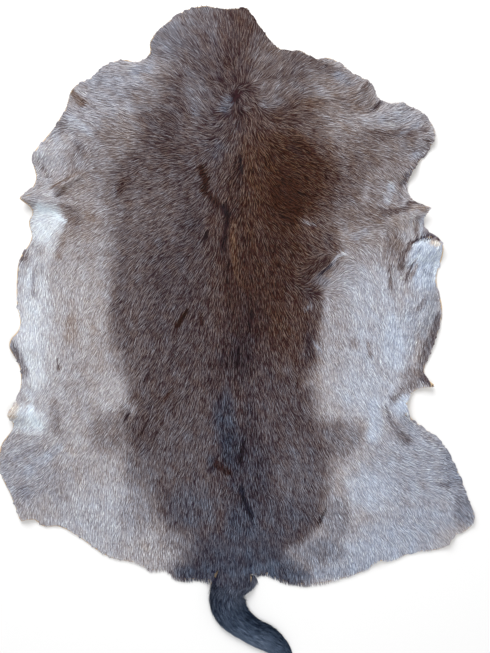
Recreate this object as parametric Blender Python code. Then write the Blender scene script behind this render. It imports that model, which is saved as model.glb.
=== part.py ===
# A deer's skin, tanned with the hair on and spread on the floor, hair side up.
# The skin, its lying coat and the tail are one piece, as they grew.
# X runs across the hide, Y along the back towards the neck, Z up, in metres.

from math import ceil, cos, hypot, pi, sin

import bmesh
import bpy
from mathutils import Vector
from mathutils.geometry import interpolate_bezier

MM = 0.001

# The sheet is about 2 mm of leather under hair that lies 7 mm deep, and less at the cut edge.
EDGE_THICKNESS = 3.2 * MM
MIDDLE_THICKNESS = 9.0 * MM
COAT_TAPER = 60 * MM
MOST_LEAN = 2             # on a fold's steep side the sheet's upright measure is at most doubled

# The back's line, which the bands of faces turn towards, ends between the shoulders and the rump.
BACK_TOP = 337 * MM
BACK_BOTTOM = -203 * MM

# Bands of faces follow the edge, narrow at the rim; a flat face closes the middle.
BANDS = 9
BAND_REACH = 130 * MM
BAND_CROWDING = 1.45
FOLD_LIMIT = 96 * MM      # folds sink from here to nothing at the last band
RIM_STEP = 10 * MM        # longest straight piece of the rim

# The cut edge, clockwise from the left end of the neck.
# Columns: across in mm, along in mm, how the edge turns there.
RIM = {
    "neck": (
        (-56, 605, "sharp"), (-30, 599, "round"), (18, 601, "sharp"),
    ),
    "right of the neck": (
        (46, 561, "round"), (81, 524, "round"), (115, 520, "sharp"),
        (154, 505, "round"), (165, 509, "round"), (211, 481, "round"),
        (250, 455, "round"), (261, 433, "round"), (285, 422, "round"),
    ),
    "right foreleg": (
        (305, 424, "sharp"), (346, 403, "round"), (364, 370, "round"),
        (357, 344, "round"), (326, 303, "round"), (314, 272, "round"),
        (329, 240, "round"), (355, 229, "sharp"), (342, 205, "round"),
    ),
    "right belly": (
        (372, 170, "round"), (379, 150, "round"), (368, 100, "round"),
        (379, 41, "round"), (359, -31, "round"), (346, -76, "round"),
        (366, -98, "sharp"), (327, -107, "round"), (311, -139, "round"),
    ),
    "right hind leg": (
        (339, -172, "round"), (370, -194, "round"), (401, -242, "round"),
        (427, -307, "round"), (438, -342, "round"), (422, -366, "round"),
        (400, -374, "round"), (388, -392, "round"),
    ),
    "rump": (
        (320, -407, "round"), (281, -422, "round"), (261, -420, "round"),
        (246, -433, "round"), (189, -455, "round"), (135, -464, "round"),
        (96, -461, "round"), (54, -444, "sharp"), (-39, -455, "sharp"),
        (-80, -455, "round"), (-118, -451, "round"), (-128, -438, "round"),
        (-161, -438, "round"), (-183, -426, "round"), (-235, -414, "round"),
    ),
    "left hind leg": (
        (-303, -370, "round"), (-331, -357, "round"), (-359, -357, "round"),
        (-374, -344, "round"), (-400, -348, "sharp"), (-416, -305, "round"),
        (-438, -253, "round"), (-437, -211, "round"),
    ),
    "left belly": (
        (-413, -166, "round"), (-422, -154, "sharp"), (-401, -105, "round"),
        (-401, -65, "round"), (-418, -20, "round"), (-401, 13, "round"),
        (-407, 56, "round"), (-400, 137, "round"), (-379, 178, "round"),
        (-385, 205, "round"), (-377, 224, "round"),
    ),
    "left foreleg": (
        (-398, 246, "sharp"), (-372, 281, "round"), (-376, 320, "round"),
        (-364, 346, "round"), (-320, 403, "round"),
    ),
    "left of the neck": (
        (-302, 453, "round"), (-265, 474, "round"), (-250, 490, "round"),
        (-204, 505, "round"), (-189, 500, "round"), (-161, 516, "round"),
        (-161, 536, "round"), (-130, 572, "round"), (-87, 599, "round"),
    ),
}

# Stiff leather stays up in ridges near its edge. Each row is one ridge, along its crest.
# Columns, all in mm: the crest's start and end, its rise, the width of its left and right
# flanks seen from the start, and whether it runs out through the edge or dies at both ends.
FOLDS = {
    "left shoulder": ((-324, 398), (-250, 371), 13, 26, 26, "runs out"),
    "left foreleg": ((-372, 330), (-305, 322), 15, 26, 18, "runs out"),
    "left elbow": ((-365, 248), (-278, 300), 11, 30, 14, "dies"),
    "left armpit": ((-398, 245), (-300, 232), 24, 24, 14, "runs out"),
    "left ribs": ((-401, 128), (-340, 121), 8, 26, 26, "runs out"),
    "left flank": ((-419, -20), (-356, -35), 18, 27, 27, "runs out"),
    "left groin": ((-422, -148), (-335, -160), 22, 28, 20, "runs out"),
    "left thigh": ((-338, -105), (-300, -225), 9, 24, 24, "dies"),
    "left hock": ((-389, -350), (-355, -280), 10, 18, 18, "runs out"),
    "neck crease": ((115, 522), (156, 436), 10, 22, 22, "runs out"),
    "first neck ripple": ((200, 487), (184, 446), 8, 15, 15, "runs out"),
    "second neck ripple": ((242, 460), (205, 418), 12, 18, 18, "runs out"),
    "right shoulder": ((299, 424), (260, 370), 14, 24, 24, "runs out"),
    "right foreleg": ((362, 362), (290, 352), 15, 26, 26, "runs out"),
    "right elbow": ((322, 300), (272, 286), 15, 22, 22, "runs out"),
    "right armpit": ((355, 229), (240, 200), 24, 27, 15, "runs out"),
    "flap head": ((376, 166), (292, 122), 26, 30, 14, "runs out"),
    "flap": ((330, 165), (350, -60), 24, 36, 22, "dies"),
    "belly spur": ((366, -98), (290, -82), 12, 15, 15, "runs out"),
    "right groin": ((303, -86), (314, -194), 20, 26, 20, "dies"),
    "right heel": ((438, -342), (362, -318), 8, 22, 22, "runs out"),
    "right hock": ((396, -386), (356, -334), 12, 18, 18, "runs out"),
    "right rump": ((262, -421), (240, -372), 7, 18, 18, "runs out"),
}

# The tail lies on the floor, round in section but sunk by its weight, its hair on it.
# Columns, all in mm: across, along, half width.
TAIL = (
    (6, -385, 10), (-3, -434, 32), (-12, -468, 37), (-17, -496, 34), (-9, -517, 31),
    (11, -537, 26), (31, -551, 24), (54, -562, 24), (72, -575, 20), (88, -589, 14),
    (99, -600, 6),
)
TAIL_FLATNESS = 0.42      # height of the tail's section over its width
TAIL_CENTRE = 0.25        # its axis above the floor, over its half width
TAIL_STEPS = 3
TAIL_SIDES = 4            # extra points on each half of the section

WELD = 1e-6
SLOPE_STEP = 1 * MM

HAIR_COLOUR = (0.085, 0.062, 0.052, 1)
HAIR_ROUGHNESS = 0.72

for old in list(bpy.data.objects):
    bpy.data.objects.remove(old, do_unlink=True)


def new_collection(name):
    group = bpy.data.collections.new(name)
    bpy.context.scene.collection.children.link(group)
    return group


def curve_to_mesh(curve, name):
    """The evaluated mesh of a curve, whose object and data are removed again."""
    guide = bpy.data.objects.new(name, curve)
    bpy.context.scene.collection.objects.link(guide)
    view = bpy.context.evaluated_depsgraph_get()
    mesh = bpy.data.meshes.new_from_object(guide.evaluated_get(view))
    bpy.data.objects.remove(guide, do_unlink=True)
    bpy.data.curves.remove(curve)
    mesh.name = name
    return mesh


def rim_places():
    """The cut edge as one closed run of places, evenly stepped between the rim's points."""
    handles = {"round": "AUTO", "sharp": "VECTOR"}
    knots = [knot for stretch in RIM.values() for knot in stretch]
    curve = bpy.data.curves.new("rim", "CURVE")
    curve.dimensions = "3D"
    spline = curve.splines.new("BEZIER")
    spline.bezier_points.add(len(knots) - 1)
    spline.use_cyclic_u = True
    for point, (across, along, turn) in zip(spline.bezier_points, knots):
        point.co = (across * MM, along * MM, 0)
        point.handle_left_type = handles[turn]
        point.handle_right_type = handles[turn]
    points = list(spline.bezier_points)
    places = []
    for here, there in zip(points, points[1:] + points[:1]):
        steps = ceil((there.co - here.co).length / RIM_STEP)
        pull = (here.co, here.handle_right, there.handle_left, there.co)
        places += interpolate_bezier(*pull, steps + 1)[:-1]
    bpy.data.curves.remove(curve)
    return places


def towards_back(place):
    """The level direction from the edge to the nearest place on the back's line."""
    nearest = Vector((0, min(max(place.y, BACK_BOTTOM), BACK_TOP), 0))
    return (nearest - place).normalized()


def ease(value, start, end):
    """A smooth step from 0 at start to 1 at end."""
    share = min(max((value - start) / (end - start), 0), 1)
    return share * share * (3 - 2 * share)


def ridge(across, along, start, end, rise, left, right, ends):
    """How high one fold stands over a place given in mm."""
    run = (end[0] - start[0], end[1] - start[1])
    length = hypot(*run)
    beside = (across - start[0], along - start[1])
    share = (beside[0] * run[0] + beside[1] * run[1]) / length ** 2
    side = (run[0] * beside[1] - run[1] * beside[0]) / length
    flank = left if side > 0 else right
    if share > 1 or abs(side) > flank or (share < 0 and ends == "dies"):
        return 0
    if ends == "dies":
        along_crest = sin(pi * share) ** 2
    else:
        along_crest = cos(pi / 2 * max(share, 0)) ** 2
    return rise * along_crest * cos(pi / 2 * side / flank) ** 2


def skin_height(across, along, depth):
    """How far the leather is off the floor, in metres: the tallest fold there rules."""
    heights = [ridge(across / MM, along / MM, *fold) for fold in FOLDS.values()]
    tallest = sum(height ** 3 for height in heights) ** (1 / 3)
    return tallest * MM * (1 - ease(depth, FOLD_LIMIT, BAND_REACH))


def upright_thickness(across, along, depth):
    """The sheet's thickness at a place, measured straight up."""
    level = skin_height(across, along, depth)
    rise_across = skin_height(across + SLOPE_STEP, along, depth) - level
    rise_along = skin_height(across, along + SLOPE_STEP, depth) - level
    slope = hypot(rise_across, rise_along) / SLOPE_STEP
    lean = min(hypot(1, slope), MOST_LEAN)
    coat = MIDDLE_THICKNESS - EDGE_THICKNESS
    return (EDGE_THICKNESS + coat * ease(depth, 0, COAT_TAPER)) * lean


def spread_sheet(rim):
    """Bands of faces from the edge inwards, level, with how deep each point lies."""
    bm = bmesh.new()
    depths = bm.verts.layers.float.new("depth")
    columns = len(rim)
    bmesh.ops.create_grid(bm, x_segments=columns, y_segments=BANDS, size=1)
    for vert in bm.verts:
        place = rim[round((vert.co.x + 1) / 2 * columns) % columns]
        band = (vert.co.y + 1) / 2
        vert[depths] = BAND_REACH * band ** BAND_CROWDING
        vert.co = place + towards_back(place) * vert[depths]
    bmesh.ops.remove_doubles(bm, verts=bm.verts, dist=WELD)
    inner = [
        edge for edge in bm.edges
        if edge.is_boundary and edge.verts[0][depths] > FOLD_LIMIT
    ]
    bmesh.ops.holes_fill(bm, edges=inner, sides=0)
    return bm, depths


def make_hide():
    """The sheet: its underside on the floor, raised at each fold, and the coat over it."""
    bm, depths = spread_sheet(rim_places())
    coat = bmesh.ops.extrude_face_region(bm, geom=bm.faces[:])["geom"]
    upper = {part for part in coat if isinstance(part, bmesh.types.BMVert)}
    for vert in bm.verts:
        where = (vert.co.x, vert.co.y, vert[depths])
        vert.co.z = skin_height(*where)
        if vert in upper:
            vert.co.z += upright_thickness(*where)
    bmesh.ops.recalc_face_normals(bm, faces=bm.faces)
    mesh = bpy.data.meshes.new("hide")
    bm.to_mesh(mesh)
    bm.free()
    return bpy.data.objects.new("hide", mesh)


def make_tail():
    """The tail as a tube that thins to its tip, sunk and then cut level with the floor."""
    curve = bpy.data.curves.new("tail", "CURVE")
    curve.dimensions = "3D"
    curve.resolution_u = TAIL_STEPS
    curve.bevel_depth = MM
    curve.bevel_resolution = TAIL_SIDES
    curve.use_fill_caps = True
    spline = curve.splines.new("BEZIER")
    spline.bezier_points.add(len(TAIL) - 1)
    for point, (across, along, half) in zip(spline.bezier_points, TAIL):
        point.co = (across * MM, along * MM, half * TAIL_CENTRE / TAIL_FLATNESS * MM)
        point.radius = half
        point.handle_left_type = "AUTO"
        point.handle_right_type = "AUTO"
    mesh = curve_to_mesh(curve, "tail")
    bm = bmesh.new()
    bm.from_mesh(mesh)
    bmesh.ops.remove_doubles(bm, verts=bm.verts, dist=WELD)
    bmesh.ops.scale(bm, vec=(1, 1, TAIL_FLATNESS), verts=bm.verts)
    everything = bm.verts[:] + bm.edges[:] + bm.faces[:]
    bmesh.ops.bisect_plane(bm, geom=everything, plane_no=(0, 0, 1), clear_inner=True)
    bmesh.ops.holes_fill(bm, edges=bm.edges, sides=0)
    bmesh.ops.recalc_face_normals(bm, faces=bm.faces)
    bm.to_mesh(mesh)
    bm.free()
    tail = bpy.data.objects.new("tail", mesh)
    tail.display_type = "WIRE"
    tail.hide_render = True
    return tail


def coat_material():
    material = bpy.data.materials.new("hair coat")
    material.use_nodes = True
    shader = material.node_tree.nodes["Principled BSDF"]
    shader.inputs["Base Color"].default_value = HAIR_COLOUR
    shader.inputs["Roughness"].default_value = HAIR_ROUGHNESS
    shader.inputs["Metallic"].default_value = 0
    return material


parts = new_collection("deerskin")
forms = new_collection("joining forms")

hide = make_hide()
parts.objects.link(hide)
tail = make_tail()
forms.objects.link(tail)

join = hide.modifiers.new("tail grows from the rump", "BOOLEAN")
join.operation = "UNION"
join.solver = "EXACT"
join.object = tail

hide.data.materials.append(coat_material())
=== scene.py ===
from math import ceil, cos, pi, radians, sin

import bmesh
import bpy
import numpy as np
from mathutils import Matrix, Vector
from mathutils.bvhtree import BVHTree
from mathutils.kdtree import KDTree


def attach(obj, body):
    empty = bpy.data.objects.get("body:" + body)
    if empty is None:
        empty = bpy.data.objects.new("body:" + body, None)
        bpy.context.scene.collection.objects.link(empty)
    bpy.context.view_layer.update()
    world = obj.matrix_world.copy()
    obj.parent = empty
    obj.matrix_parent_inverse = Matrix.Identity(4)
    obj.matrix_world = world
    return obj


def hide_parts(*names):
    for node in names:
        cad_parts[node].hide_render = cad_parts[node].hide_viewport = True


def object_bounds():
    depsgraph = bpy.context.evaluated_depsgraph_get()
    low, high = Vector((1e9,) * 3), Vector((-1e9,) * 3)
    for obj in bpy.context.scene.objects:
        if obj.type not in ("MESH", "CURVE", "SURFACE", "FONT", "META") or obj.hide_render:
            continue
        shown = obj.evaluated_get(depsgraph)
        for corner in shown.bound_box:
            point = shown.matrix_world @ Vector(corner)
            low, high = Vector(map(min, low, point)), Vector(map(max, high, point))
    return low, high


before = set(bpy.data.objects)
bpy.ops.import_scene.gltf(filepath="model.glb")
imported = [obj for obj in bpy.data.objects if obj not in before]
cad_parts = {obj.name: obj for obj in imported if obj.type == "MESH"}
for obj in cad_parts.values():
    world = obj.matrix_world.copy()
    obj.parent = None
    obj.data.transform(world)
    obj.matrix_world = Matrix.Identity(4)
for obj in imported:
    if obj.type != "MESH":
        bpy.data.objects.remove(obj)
cad_low, cad_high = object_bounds()

MM = 0.001

# The tanned skin: one piece of leather, scraped and softened until its flesh side is a pale
# suede. It is laid out flat, and dried stiff enough for its trimmed edge to stay up in ridges.

SKIN_THICKNESS = 1.9 * MM
SKIN_CELL = 6.5 * MM
TAIL_ROOT_LEVEL = -0.47        # nothing of the skin itself lies further back than this
EDGE_STEP = 1.5 * MM
EDGE_ROUNDS = 2                # rounds that take the corners off the cut edge
FACES_UP = 0.02                # a facet whose normal has less of a rise is not on the hair side
SAME_PLACE = 1e-6              # places nearer than this, in metres, are one

CHART_STEP = 4 * MM
CHART_MARGIN = 40 * MM
CHART_SPREAD = 12              # rounds that carry the height past the edge
CLEAR_OF_HIDE = 0.1            # how far above or below the floor the casts start
FOLD_BLUR = 3                  # rounds that take the facets off the folds


def merged_solid():
    """The hide's solid as one connected mesh, with its facets' normals."""
    bm = bmesh.new()
    bm.from_mesh(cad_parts["hide"].data)
    bmesh.ops.remove_doubles(bm, verts=bm.verts, dist=SAME_PLACE)
    bm.normal_update()
    return bm


def cut_edge(bm):
    """The skin's cut edge seen from above, as one closed run of places from the solid."""
    rim = [
        edge for edge in bm.edges
        if len(edge.link_faces) == 2
        and max(face.normal.z for face in edge.link_faces) > FACES_UP
        and min(face.normal.z for face in edge.link_faces) < FACES_UP
        and min(vert.co.y for vert in edge.verts) > TAIL_ROOT_LEVEL
    ]
    left = set(rim)
    runs = []
    for edge in rim:
        if edge not in left:
            continue
        left.discard(edge)
        run = list(edge.verts)
        for end in (-1, 0):
            while True:
                more = [other for other in run[end].link_edges if other in left]
                if not more:
                    break
                left.discard(more[0])
                vert = more[0].other_vert(run[end])
                run.insert(len(run) if end else 0, vert)
        runs.append([vert.co.to_2d() for vert in run])
    return max(runs, key=len)


def even_loop(places, step):
    """The same closed run with a place at every step, a little rounded."""
    dense = []
    for here, there in zip(places, places[1:] + places[:1]):
        count = max(1, ceil((there - here).length / step))
        dense += [here.lerp(there, i / count) for i in range(count)]
    loop = np.array(dense)
    for _ in range(EDGE_ROUNDS):
        loop = (np.roll(loop, 1, 0) + 2 * loop + np.roll(loop, -1, 0)) / 4
    return loop


def within(x, y, loop):
    """Which of the places lie inside a closed run."""
    inside = np.zeros(x.shape, bool)
    for (x0, y0), (x1, y1) in zip(loop, np.roll(loop, -1, 0)):
        if y0 != y1:
            crosses = (y0 > y) != (y1 > y)
            inside ^= crosses & (x < x0 + (x1 - x0) * (y - y0) / (y1 - y0))
    return inside


solid = merged_solid()
solid_tree = BVHTree.FromBMesh(solid)
edge_loop = even_loop(cut_edge(solid), EDGE_STEP)
edge_tree = KDTree(len(edge_loop))
for number, place in enumerate(edge_loop):
    edge_tree.insert((*place, 0), number)
edge_tree.balance()


def grid(step):
    """Places on an even grid over the hide and a margin round it."""
    return np.meshgrid(
        np.arange(cad_low.x - CHART_MARGIN, cad_high.x + CHART_MARGIN, step),
        np.arange(cad_low.y - CHART_MARGIN, cad_high.y + CHART_MARGIN, step),
    )


def blurred(values, rounds):
    """The values, each evened out with its neighbours."""
    for _ in range(rounds):
        for axis in (0, 1):
            values = (np.roll(values, 1, axis) + 2 * values + np.roll(values, -1, axis)) / 4
    return values


class Chart:
    """Values on an even grid over the hide, which can be read at any place."""

    def __init__(self, step, values):
        self.step = step
        self.values = values

    def at(self, x, y):
        # Just short of the last ones, so that each place has a row and a column after it.
        last_row, last_column = np.array(self.values.shape) - 1.001
        across = np.clip((x - cad_low.x + CHART_MARGIN) / self.step, 0, last_column)
        along = np.clip((y - cad_low.y + CHART_MARGIN) / self.step, 0, last_row)
        i, j = along.astype(int), across.astype(int)
        s, t = along - i, across - j
        low = self.values[i, j] * (1 - t) + self.values[i, j + 1] * t
        high = self.values[i + 1, j] * (1 - t) + self.values[i + 1, j + 1] * t
        return low * (1 - s) + high * s


def cast(start_z, towards):
    """A chart of the solid's height, cast up or down, carried on past its edge."""
    grid_x, grid_y = grid(CHART_STEP)
    heights = np.full(grid_x.shape, np.nan)
    for index, x in np.ndenumerate(grid_x):
        hit = solid_tree.ray_cast(Vector((x, grid_y[index], start_z)), (0, 0, towards))[0]
        if hit:
            heights[index] = hit.z
    for _ in range(CHART_SPREAD):
        near = [np.roll(heights, shift, axis) for shift in (1, -1) for axis in (0, 1)]
        known = np.isfinite(near)
        count = known.sum(0)
        total = np.where(known, near, 0).sum(0)
        fill = np.isnan(heights) & (count > 0)
        heights = np.where(fill, total / np.maximum(count, 1), heights)
    return Chart(CHART_STEP, blurred(np.nan_to_num(heights), FOLD_BLUR))


def measure_depth():
    """A chart of how far each place lies inside the cut edge, negative outside it."""
    grid_x, grid_y = grid(CHART_STEP)
    gaps = [edge_tree.find((x, y, 0))[2] for x, y in zip(grid_x.flat, grid_y.flat)]
    side = np.where(within(grid_x, grid_y, edge_loop), 1, -1)
    return Chart(CHART_STEP, side * np.array(gaps).reshape(side.shape))


def ease(share):
    """A smooth step over the shares from 0 to 1."""
    share = np.clip(share, 0, 1)
    return share * share * (3 - 2 * share)


def line_share(x, y, start_half, end_half, softness, ends):
    """How fully a line covers places, from 0 to 1."""
    ends = np.array(ends, float)
    steps = np.hypot(*np.diff(ends, axis=0).T)
    run = np.concatenate([[0], np.cumsum(steps)]) / steps.sum()
    nearest = np.full(x.shape, np.inf)
    for i, ((x0, y0), (x1, y1)) in enumerate(zip(ends, ends[1:])):
        t = np.clip(((x - x0) * (x1 - x0) + (y - y0) * (y1 - y0)) / steps[i] ** 2, 0, 1)
        gap = np.hypot(x - x0 - t * (x1 - x0), y - y0 - t * (y1 - y0))
        half = start_half + (end_half - start_half) * (run[i] + t * (run[i + 1] - run[i]))
        nearest = np.minimum(nearest, gap / half)
    return ease(0.5 + (1 - nearest) / softness)


CREASE_SOFTNESS = 1.8

# The sharper creases, which stand up a little more than the solid's folds. Columns, in mm:
# half width, height, then the places the crease runs through.
CREASES = {
    "over the left armpit": (8, 5, (-388, 246), (-350, 242), (-312, 230)),
    "left elbow": (6, 3, (-330, 262), (-292, 290)),
    "left groin": (7, 4, (-408, -150), (-380, -138), (-352, -168)),
    "left belly": (8, 3, (-350, 150), (-378, 100), (-380, 50)),
    "right shoulder": (9, 3, (240, 400), (290, 396), (340, 392)),
    "right elbow": (7, 5, (350, 232), (318, 236), (280, 222)),
    "over the flap": (6, 4, (360, 166), (348, 168), (332, 165), (316, 150), (306, 128)),
    "flap": (6, 3, (346, 160), (338, 130), (346, 95)),
    "outer flap": (5, 3, (366, 150), (354, 110), (364, 70)),
    "right ribs": (5, 3, (286, 126), (288, 84)),
    "right groin": (8, 4, (292, -106), (276, -130), (278, -160), (304, -196)),
    "edge of the right flank": (7, 3, (336, -20), (334, -80)),
}


def creased(chart):
    """The chart with the creases added to its heights."""
    grid_x, grid_y = grid(chart.step)
    heights = chart.values
    for half, height, *ends in CREASES.values():
        share = line_share(grid_x / MM, grid_y / MM, half, half, CREASE_SOFTNESS, ends)
        heights = heights + share * height * MM
    return Chart(chart.step, heights)


underside = creased(cast(-CLEAR_OF_HIDE, 1))
coat_top = creased(cast(CLEAR_OF_HIDE, -1))
edge_depth = measure_depth()

DROPPED = 0.45                 # of a cell: a point further outside the outline is left out
MERGED = 0.3                   # of a cell: points on the outline that lie nearer become one
EVENED = 3                     # rounds that even out the points inside
SHARP = radians(50)            # an edge that turns further is shaded sharp


def finished_mesh(name, bm):
    """The form as a mesh. The form is freed."""
    mesh = bpy.data.meshes.new(name)
    bm.to_mesh(mesh)
    bm.free()
    return mesh


def add_object(name, data):
    """A mesh, lamp or camera, put into the scene."""
    made = bpy.data.objects.new(name, data)
    bpy.context.scene.collection.objects.link(made)
    return made


def lay_sheet(name, cell, inset, lower, upper):
    """A closed sheet in the skin's outline. lower and upper give its two heights."""
    bm = bmesh.new()
    columns = ceil((cad_high.x - cad_low.x) / cell) + 2
    rows = ceil((cad_high.y - cad_low.y) / cell) + 2
    bmesh.ops.create_grid(bm, x_segments=columns, y_segments=rows, size=0.5)
    centre = (cad_low + cad_high) / 2
    bmesh.ops.scale(bm, vec=(columns * cell, rows * cell, 1), verts=bm.verts)
    bmesh.ops.translate(bm, vec=(centre.x, centre.y, 0), verts=bm.verts)
    places = np.array([vert.co for vert in bm.verts])
    depths = edge_depth.at(places[:, 0], places[:, 1]) - inset
    outside = [vert for vert, depth in zip(bm.verts, depths) if depth < -DROPPED * cell]
    bmesh.ops.delete(bm, geom=outside, context="VERTS")
    stray = [vert for vert in bm.verts if len(vert.link_faces) == 0]
    bmesh.ops.delete(bm, geom=stray, context="VERTS")
    border = [vert for vert in bm.verts if vert.is_boundary]
    for vert in border:
        nearest = edge_tree.find((vert.co.x, vert.co.y, 0))[0]
        inner = Vector((0, 0, 0))
        for edge in vert.link_edges:
            inner += edge.other_vert(vert).co - vert.co
        vert.co.xy = nearest.xy + inner.to_2d().normalized() * inset
    bmesh.ops.remove_doubles(bm, verts=border, dist=MERGED * cell)
    inner = [vert for vert in bm.verts if not vert.is_boundary]
    for _ in range(EVENED):
        bmesh.ops.smooth_vert(bm, verts=inner, factor=0.5, use_axis_x=True, use_axis_y=True)
    raised = bmesh.ops.extrude_face_region(bm, geom=bm.faces[:])["geom"]
    bm.verts.index_update()
    top = {part.index for part in raised if isinstance(part, bmesh.types.BMVert)}
    places = np.array([vert.co for vert in bm.verts])
    low = lower(places[:, 0], places[:, 1])
    high = upper(places[:, 0], places[:, 1])
    for vert in bm.verts:
        vert.co.z = high[vert.index] if vert.index in top else low[vert.index]
    bmesh.ops.recalc_face_normals(bm, faces=bm.faces)
    mesh = finished_mesh(name, bm)
    mesh.shade_smooth()
    mesh.set_sharp_from_angle(angle=SHARP)
    return add_object(name, mesh)


def skin_low(x, y):
    return underside.at(x, y)


def skin_high(x, y):
    return skin_low(x, y) + SKIN_THICKNESS


class Wire:
    """A shader socket. Arithmetic on it adds Math nodes."""

    def __init__(self, finish, socket):
        self.finish = finish
        self.socket = socket

    def math(self, operation, first, second):
        return self.finish.node("ShaderNodeMath", {"operation": operation}, {0: first, 1: second})

    def __add__(self, other):
        return self.math("ADD", self, other)

    def __sub__(self, other):
        return self.math("SUBTRACT", self, other)

    def __rsub__(self, other):
        return self.math("SUBTRACT", other, self)

    def __mul__(self, other):
        return self.math("MULTIPLY", self, other)

    __radd__ = __add__
    __rmul__ = __mul__


class Finish:
    """A material and its Principled shader, whose even values are set on it directly."""

    def __init__(self, name, **even):
        self.material = bpy.data.materials.new(name)
        self.material.use_nodes = True
        self.tree = self.material.node_tree
        self.shader = self.tree.nodes["Principled BSDF"]
        for socket, value in even.items():
            self.shader.inputs[socket.replace("_", " ")].default_value = value

    def feed(self, socket, value):
        if isinstance(value, Wire):
            self.tree.links.new(value.socket, socket)
        else:
            socket.default_value = value

    def node(self, kind, settings, sockets, output=0):
        made = self.tree.nodes.new(kind)
        for name, value in settings.items():
            if name == "stops":
                self.set_stops(made.color_ramp, value)
            else:
                setattr(made, name, value)
        for name, value in sockets.items():
            self.feed(made.inputs[name], value)
        return Wire(self, made.outputs[output])

    def set_stops(self, ramp, stops):
        while len(ramp.elements) < len(stops):
            ramp.elements.new(1)
        for element, (position, colour) in zip(ramp.elements, stops):
            element.position = position
            element.color = colour

    def mix(self, factor, first, second):
        return self.node(
            "ShaderNodeMix", {"data_type": "RGBA"}, {0: factor, 6: first, 7: second}, 2
        )

    def noise(self, scale, detail):
        place = self.node("ShaderNodeTexCoord", {}, {}, "Object")
        return self.node("ShaderNodeTexNoise", {}, {"Vector": place, "Scale": scale, "Detail": detail})

    def bump(self, strength, depth, height):
        sockets = {"Strength": strength, "Distance": depth, "Height": height}
        return self.node("ShaderNodeBump", {}, sockets)

    def shade(self, **varying):
        for socket, value in varying.items():
            self.feed(self.shader.inputs[socket.replace("_", " ")], value)


def seen(red, green, blue):
    """A colour as it is seen, turned into the shader's linear values."""
    return (*(pow(max(part, 0), 2.2) for part in (red, green, blue)), 1)


SUEDE_PALE = seen(0.80, 0.71, 0.58)
SUEDE_DARK = seen(0.68, 0.56, 0.42)
STAINS = (9, 4)                # how many to a metre, and in how many finer layers
NAP = (420, 2)
STAIN_TONE = 0.8
NAP_TONE = 0.3

suede = Finish("suede", Roughness=0.9, Sheen_Weight=0.2)
stains = suede.noise(*STAINS)
nap = suede.noise(*NAP)
suede.shade(
    Base_Color=suede.mix(stains * STAIN_TONE + nap * NAP_TONE, SUEDE_DARK, SUEDE_PALE),
    Normal=suede.bump(strength=0.3, depth=0.4 * MM, height=nap),
)

skin = lay_sheet("hide_skin", SKIN_CELL, 0, skin_low, skin_high)
skin.data.materials.append(suede.material)
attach(skin, "root")
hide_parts("hide")

# The undercoat: short soft wool that grows thick at the skin, under the long hairs, and shows
# between them as the darker ground. It thins towards the trimmed edge and stops just inside it.

UNDERCOAT_CELL = 6 * MM
UNDERCOAT_INSET = 2.2 * MM
UNDER_LONG_HAIR = 3.6 * MM     # from the top of the lying coat down to the wool
LEAST_WOOL = 0.5 * MM
OFF_THE_SKIN = 0.05 * MM       # so that its underside doesn't lie in the leather's own
GROUND_DARKER = 0.10

# How far the dark back reaches to each side. Columns, in mm: along, its left edge, its right
# edge, and how widely it blends on the left and on the right.
DARK_BACK = (
    (620, -60, 75, 45, 30), (579, -75, 80, 50, 30), (524, -110, 110, 60, 50),
    (477, -140, 130, 65, 60), (431, -165, 140, 70, 65), (394, -185, 145, 70, 50),
    (366, -195, 155, 70, 45), (339, -215, 178, 70, 50), (311, -235, 208, 70, 50),
    (283, -243, 216, 60, 50), (255, -238, 212, 55, 50), (228, -228, 200, 55, 50),
    (200, -228, 178, 50, 46), (172, -225, 170, 45, 40), (144, -228, 168, 42, 30),
    (117, -232, 146, 36, 24), (89, -235, 146, 34, 20), (61, -237, 160, 34, 16),
    (33, -238, 158, 32, 16), (6, -235, 155, 36, 16), (-22, -224, 151, 40, 16),
    (-50, -214, 147, 40, 16), (-80, -201, 132, 30, 26), (-105, -195, 134, 20, 26),
    (-125, -200, 138, 16, 26), (-142, -206, 142, 26, 30), (-160, -212, 156, 26, 36),
    (-180, -220, 182, 30, 50), (-200, -216, 194, 34, 50), (-240, -190, 176, 42, 40),
    (-272, -178, 160, 46, 34), (-305, -172, 172, 48, 30), (-330, -160, 168, 50, 26),
    (-346, -146, 158, 50, 24), (-365, -126, 142, 45, 24), (-383, -104, 124, 40, 24),
    (-400, -88, 104, 34, 26), (-420, -98, 96, 30, 30), (-440, -112, 108, 28, 30),
    (-475, -120, 130, 30, 34),
)
BACK_RAGGED = 5                # how far the dark back's edge wavers, in mm, and
RAGGED_SIZE = 40               # in waves of about what size
BACK_TONE = (0.31, 0.58)       # lightness, then warmth: 0 is slaty hair and 1 is brown hair
SIDE_TONE = (0.66, 0.40)

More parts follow.
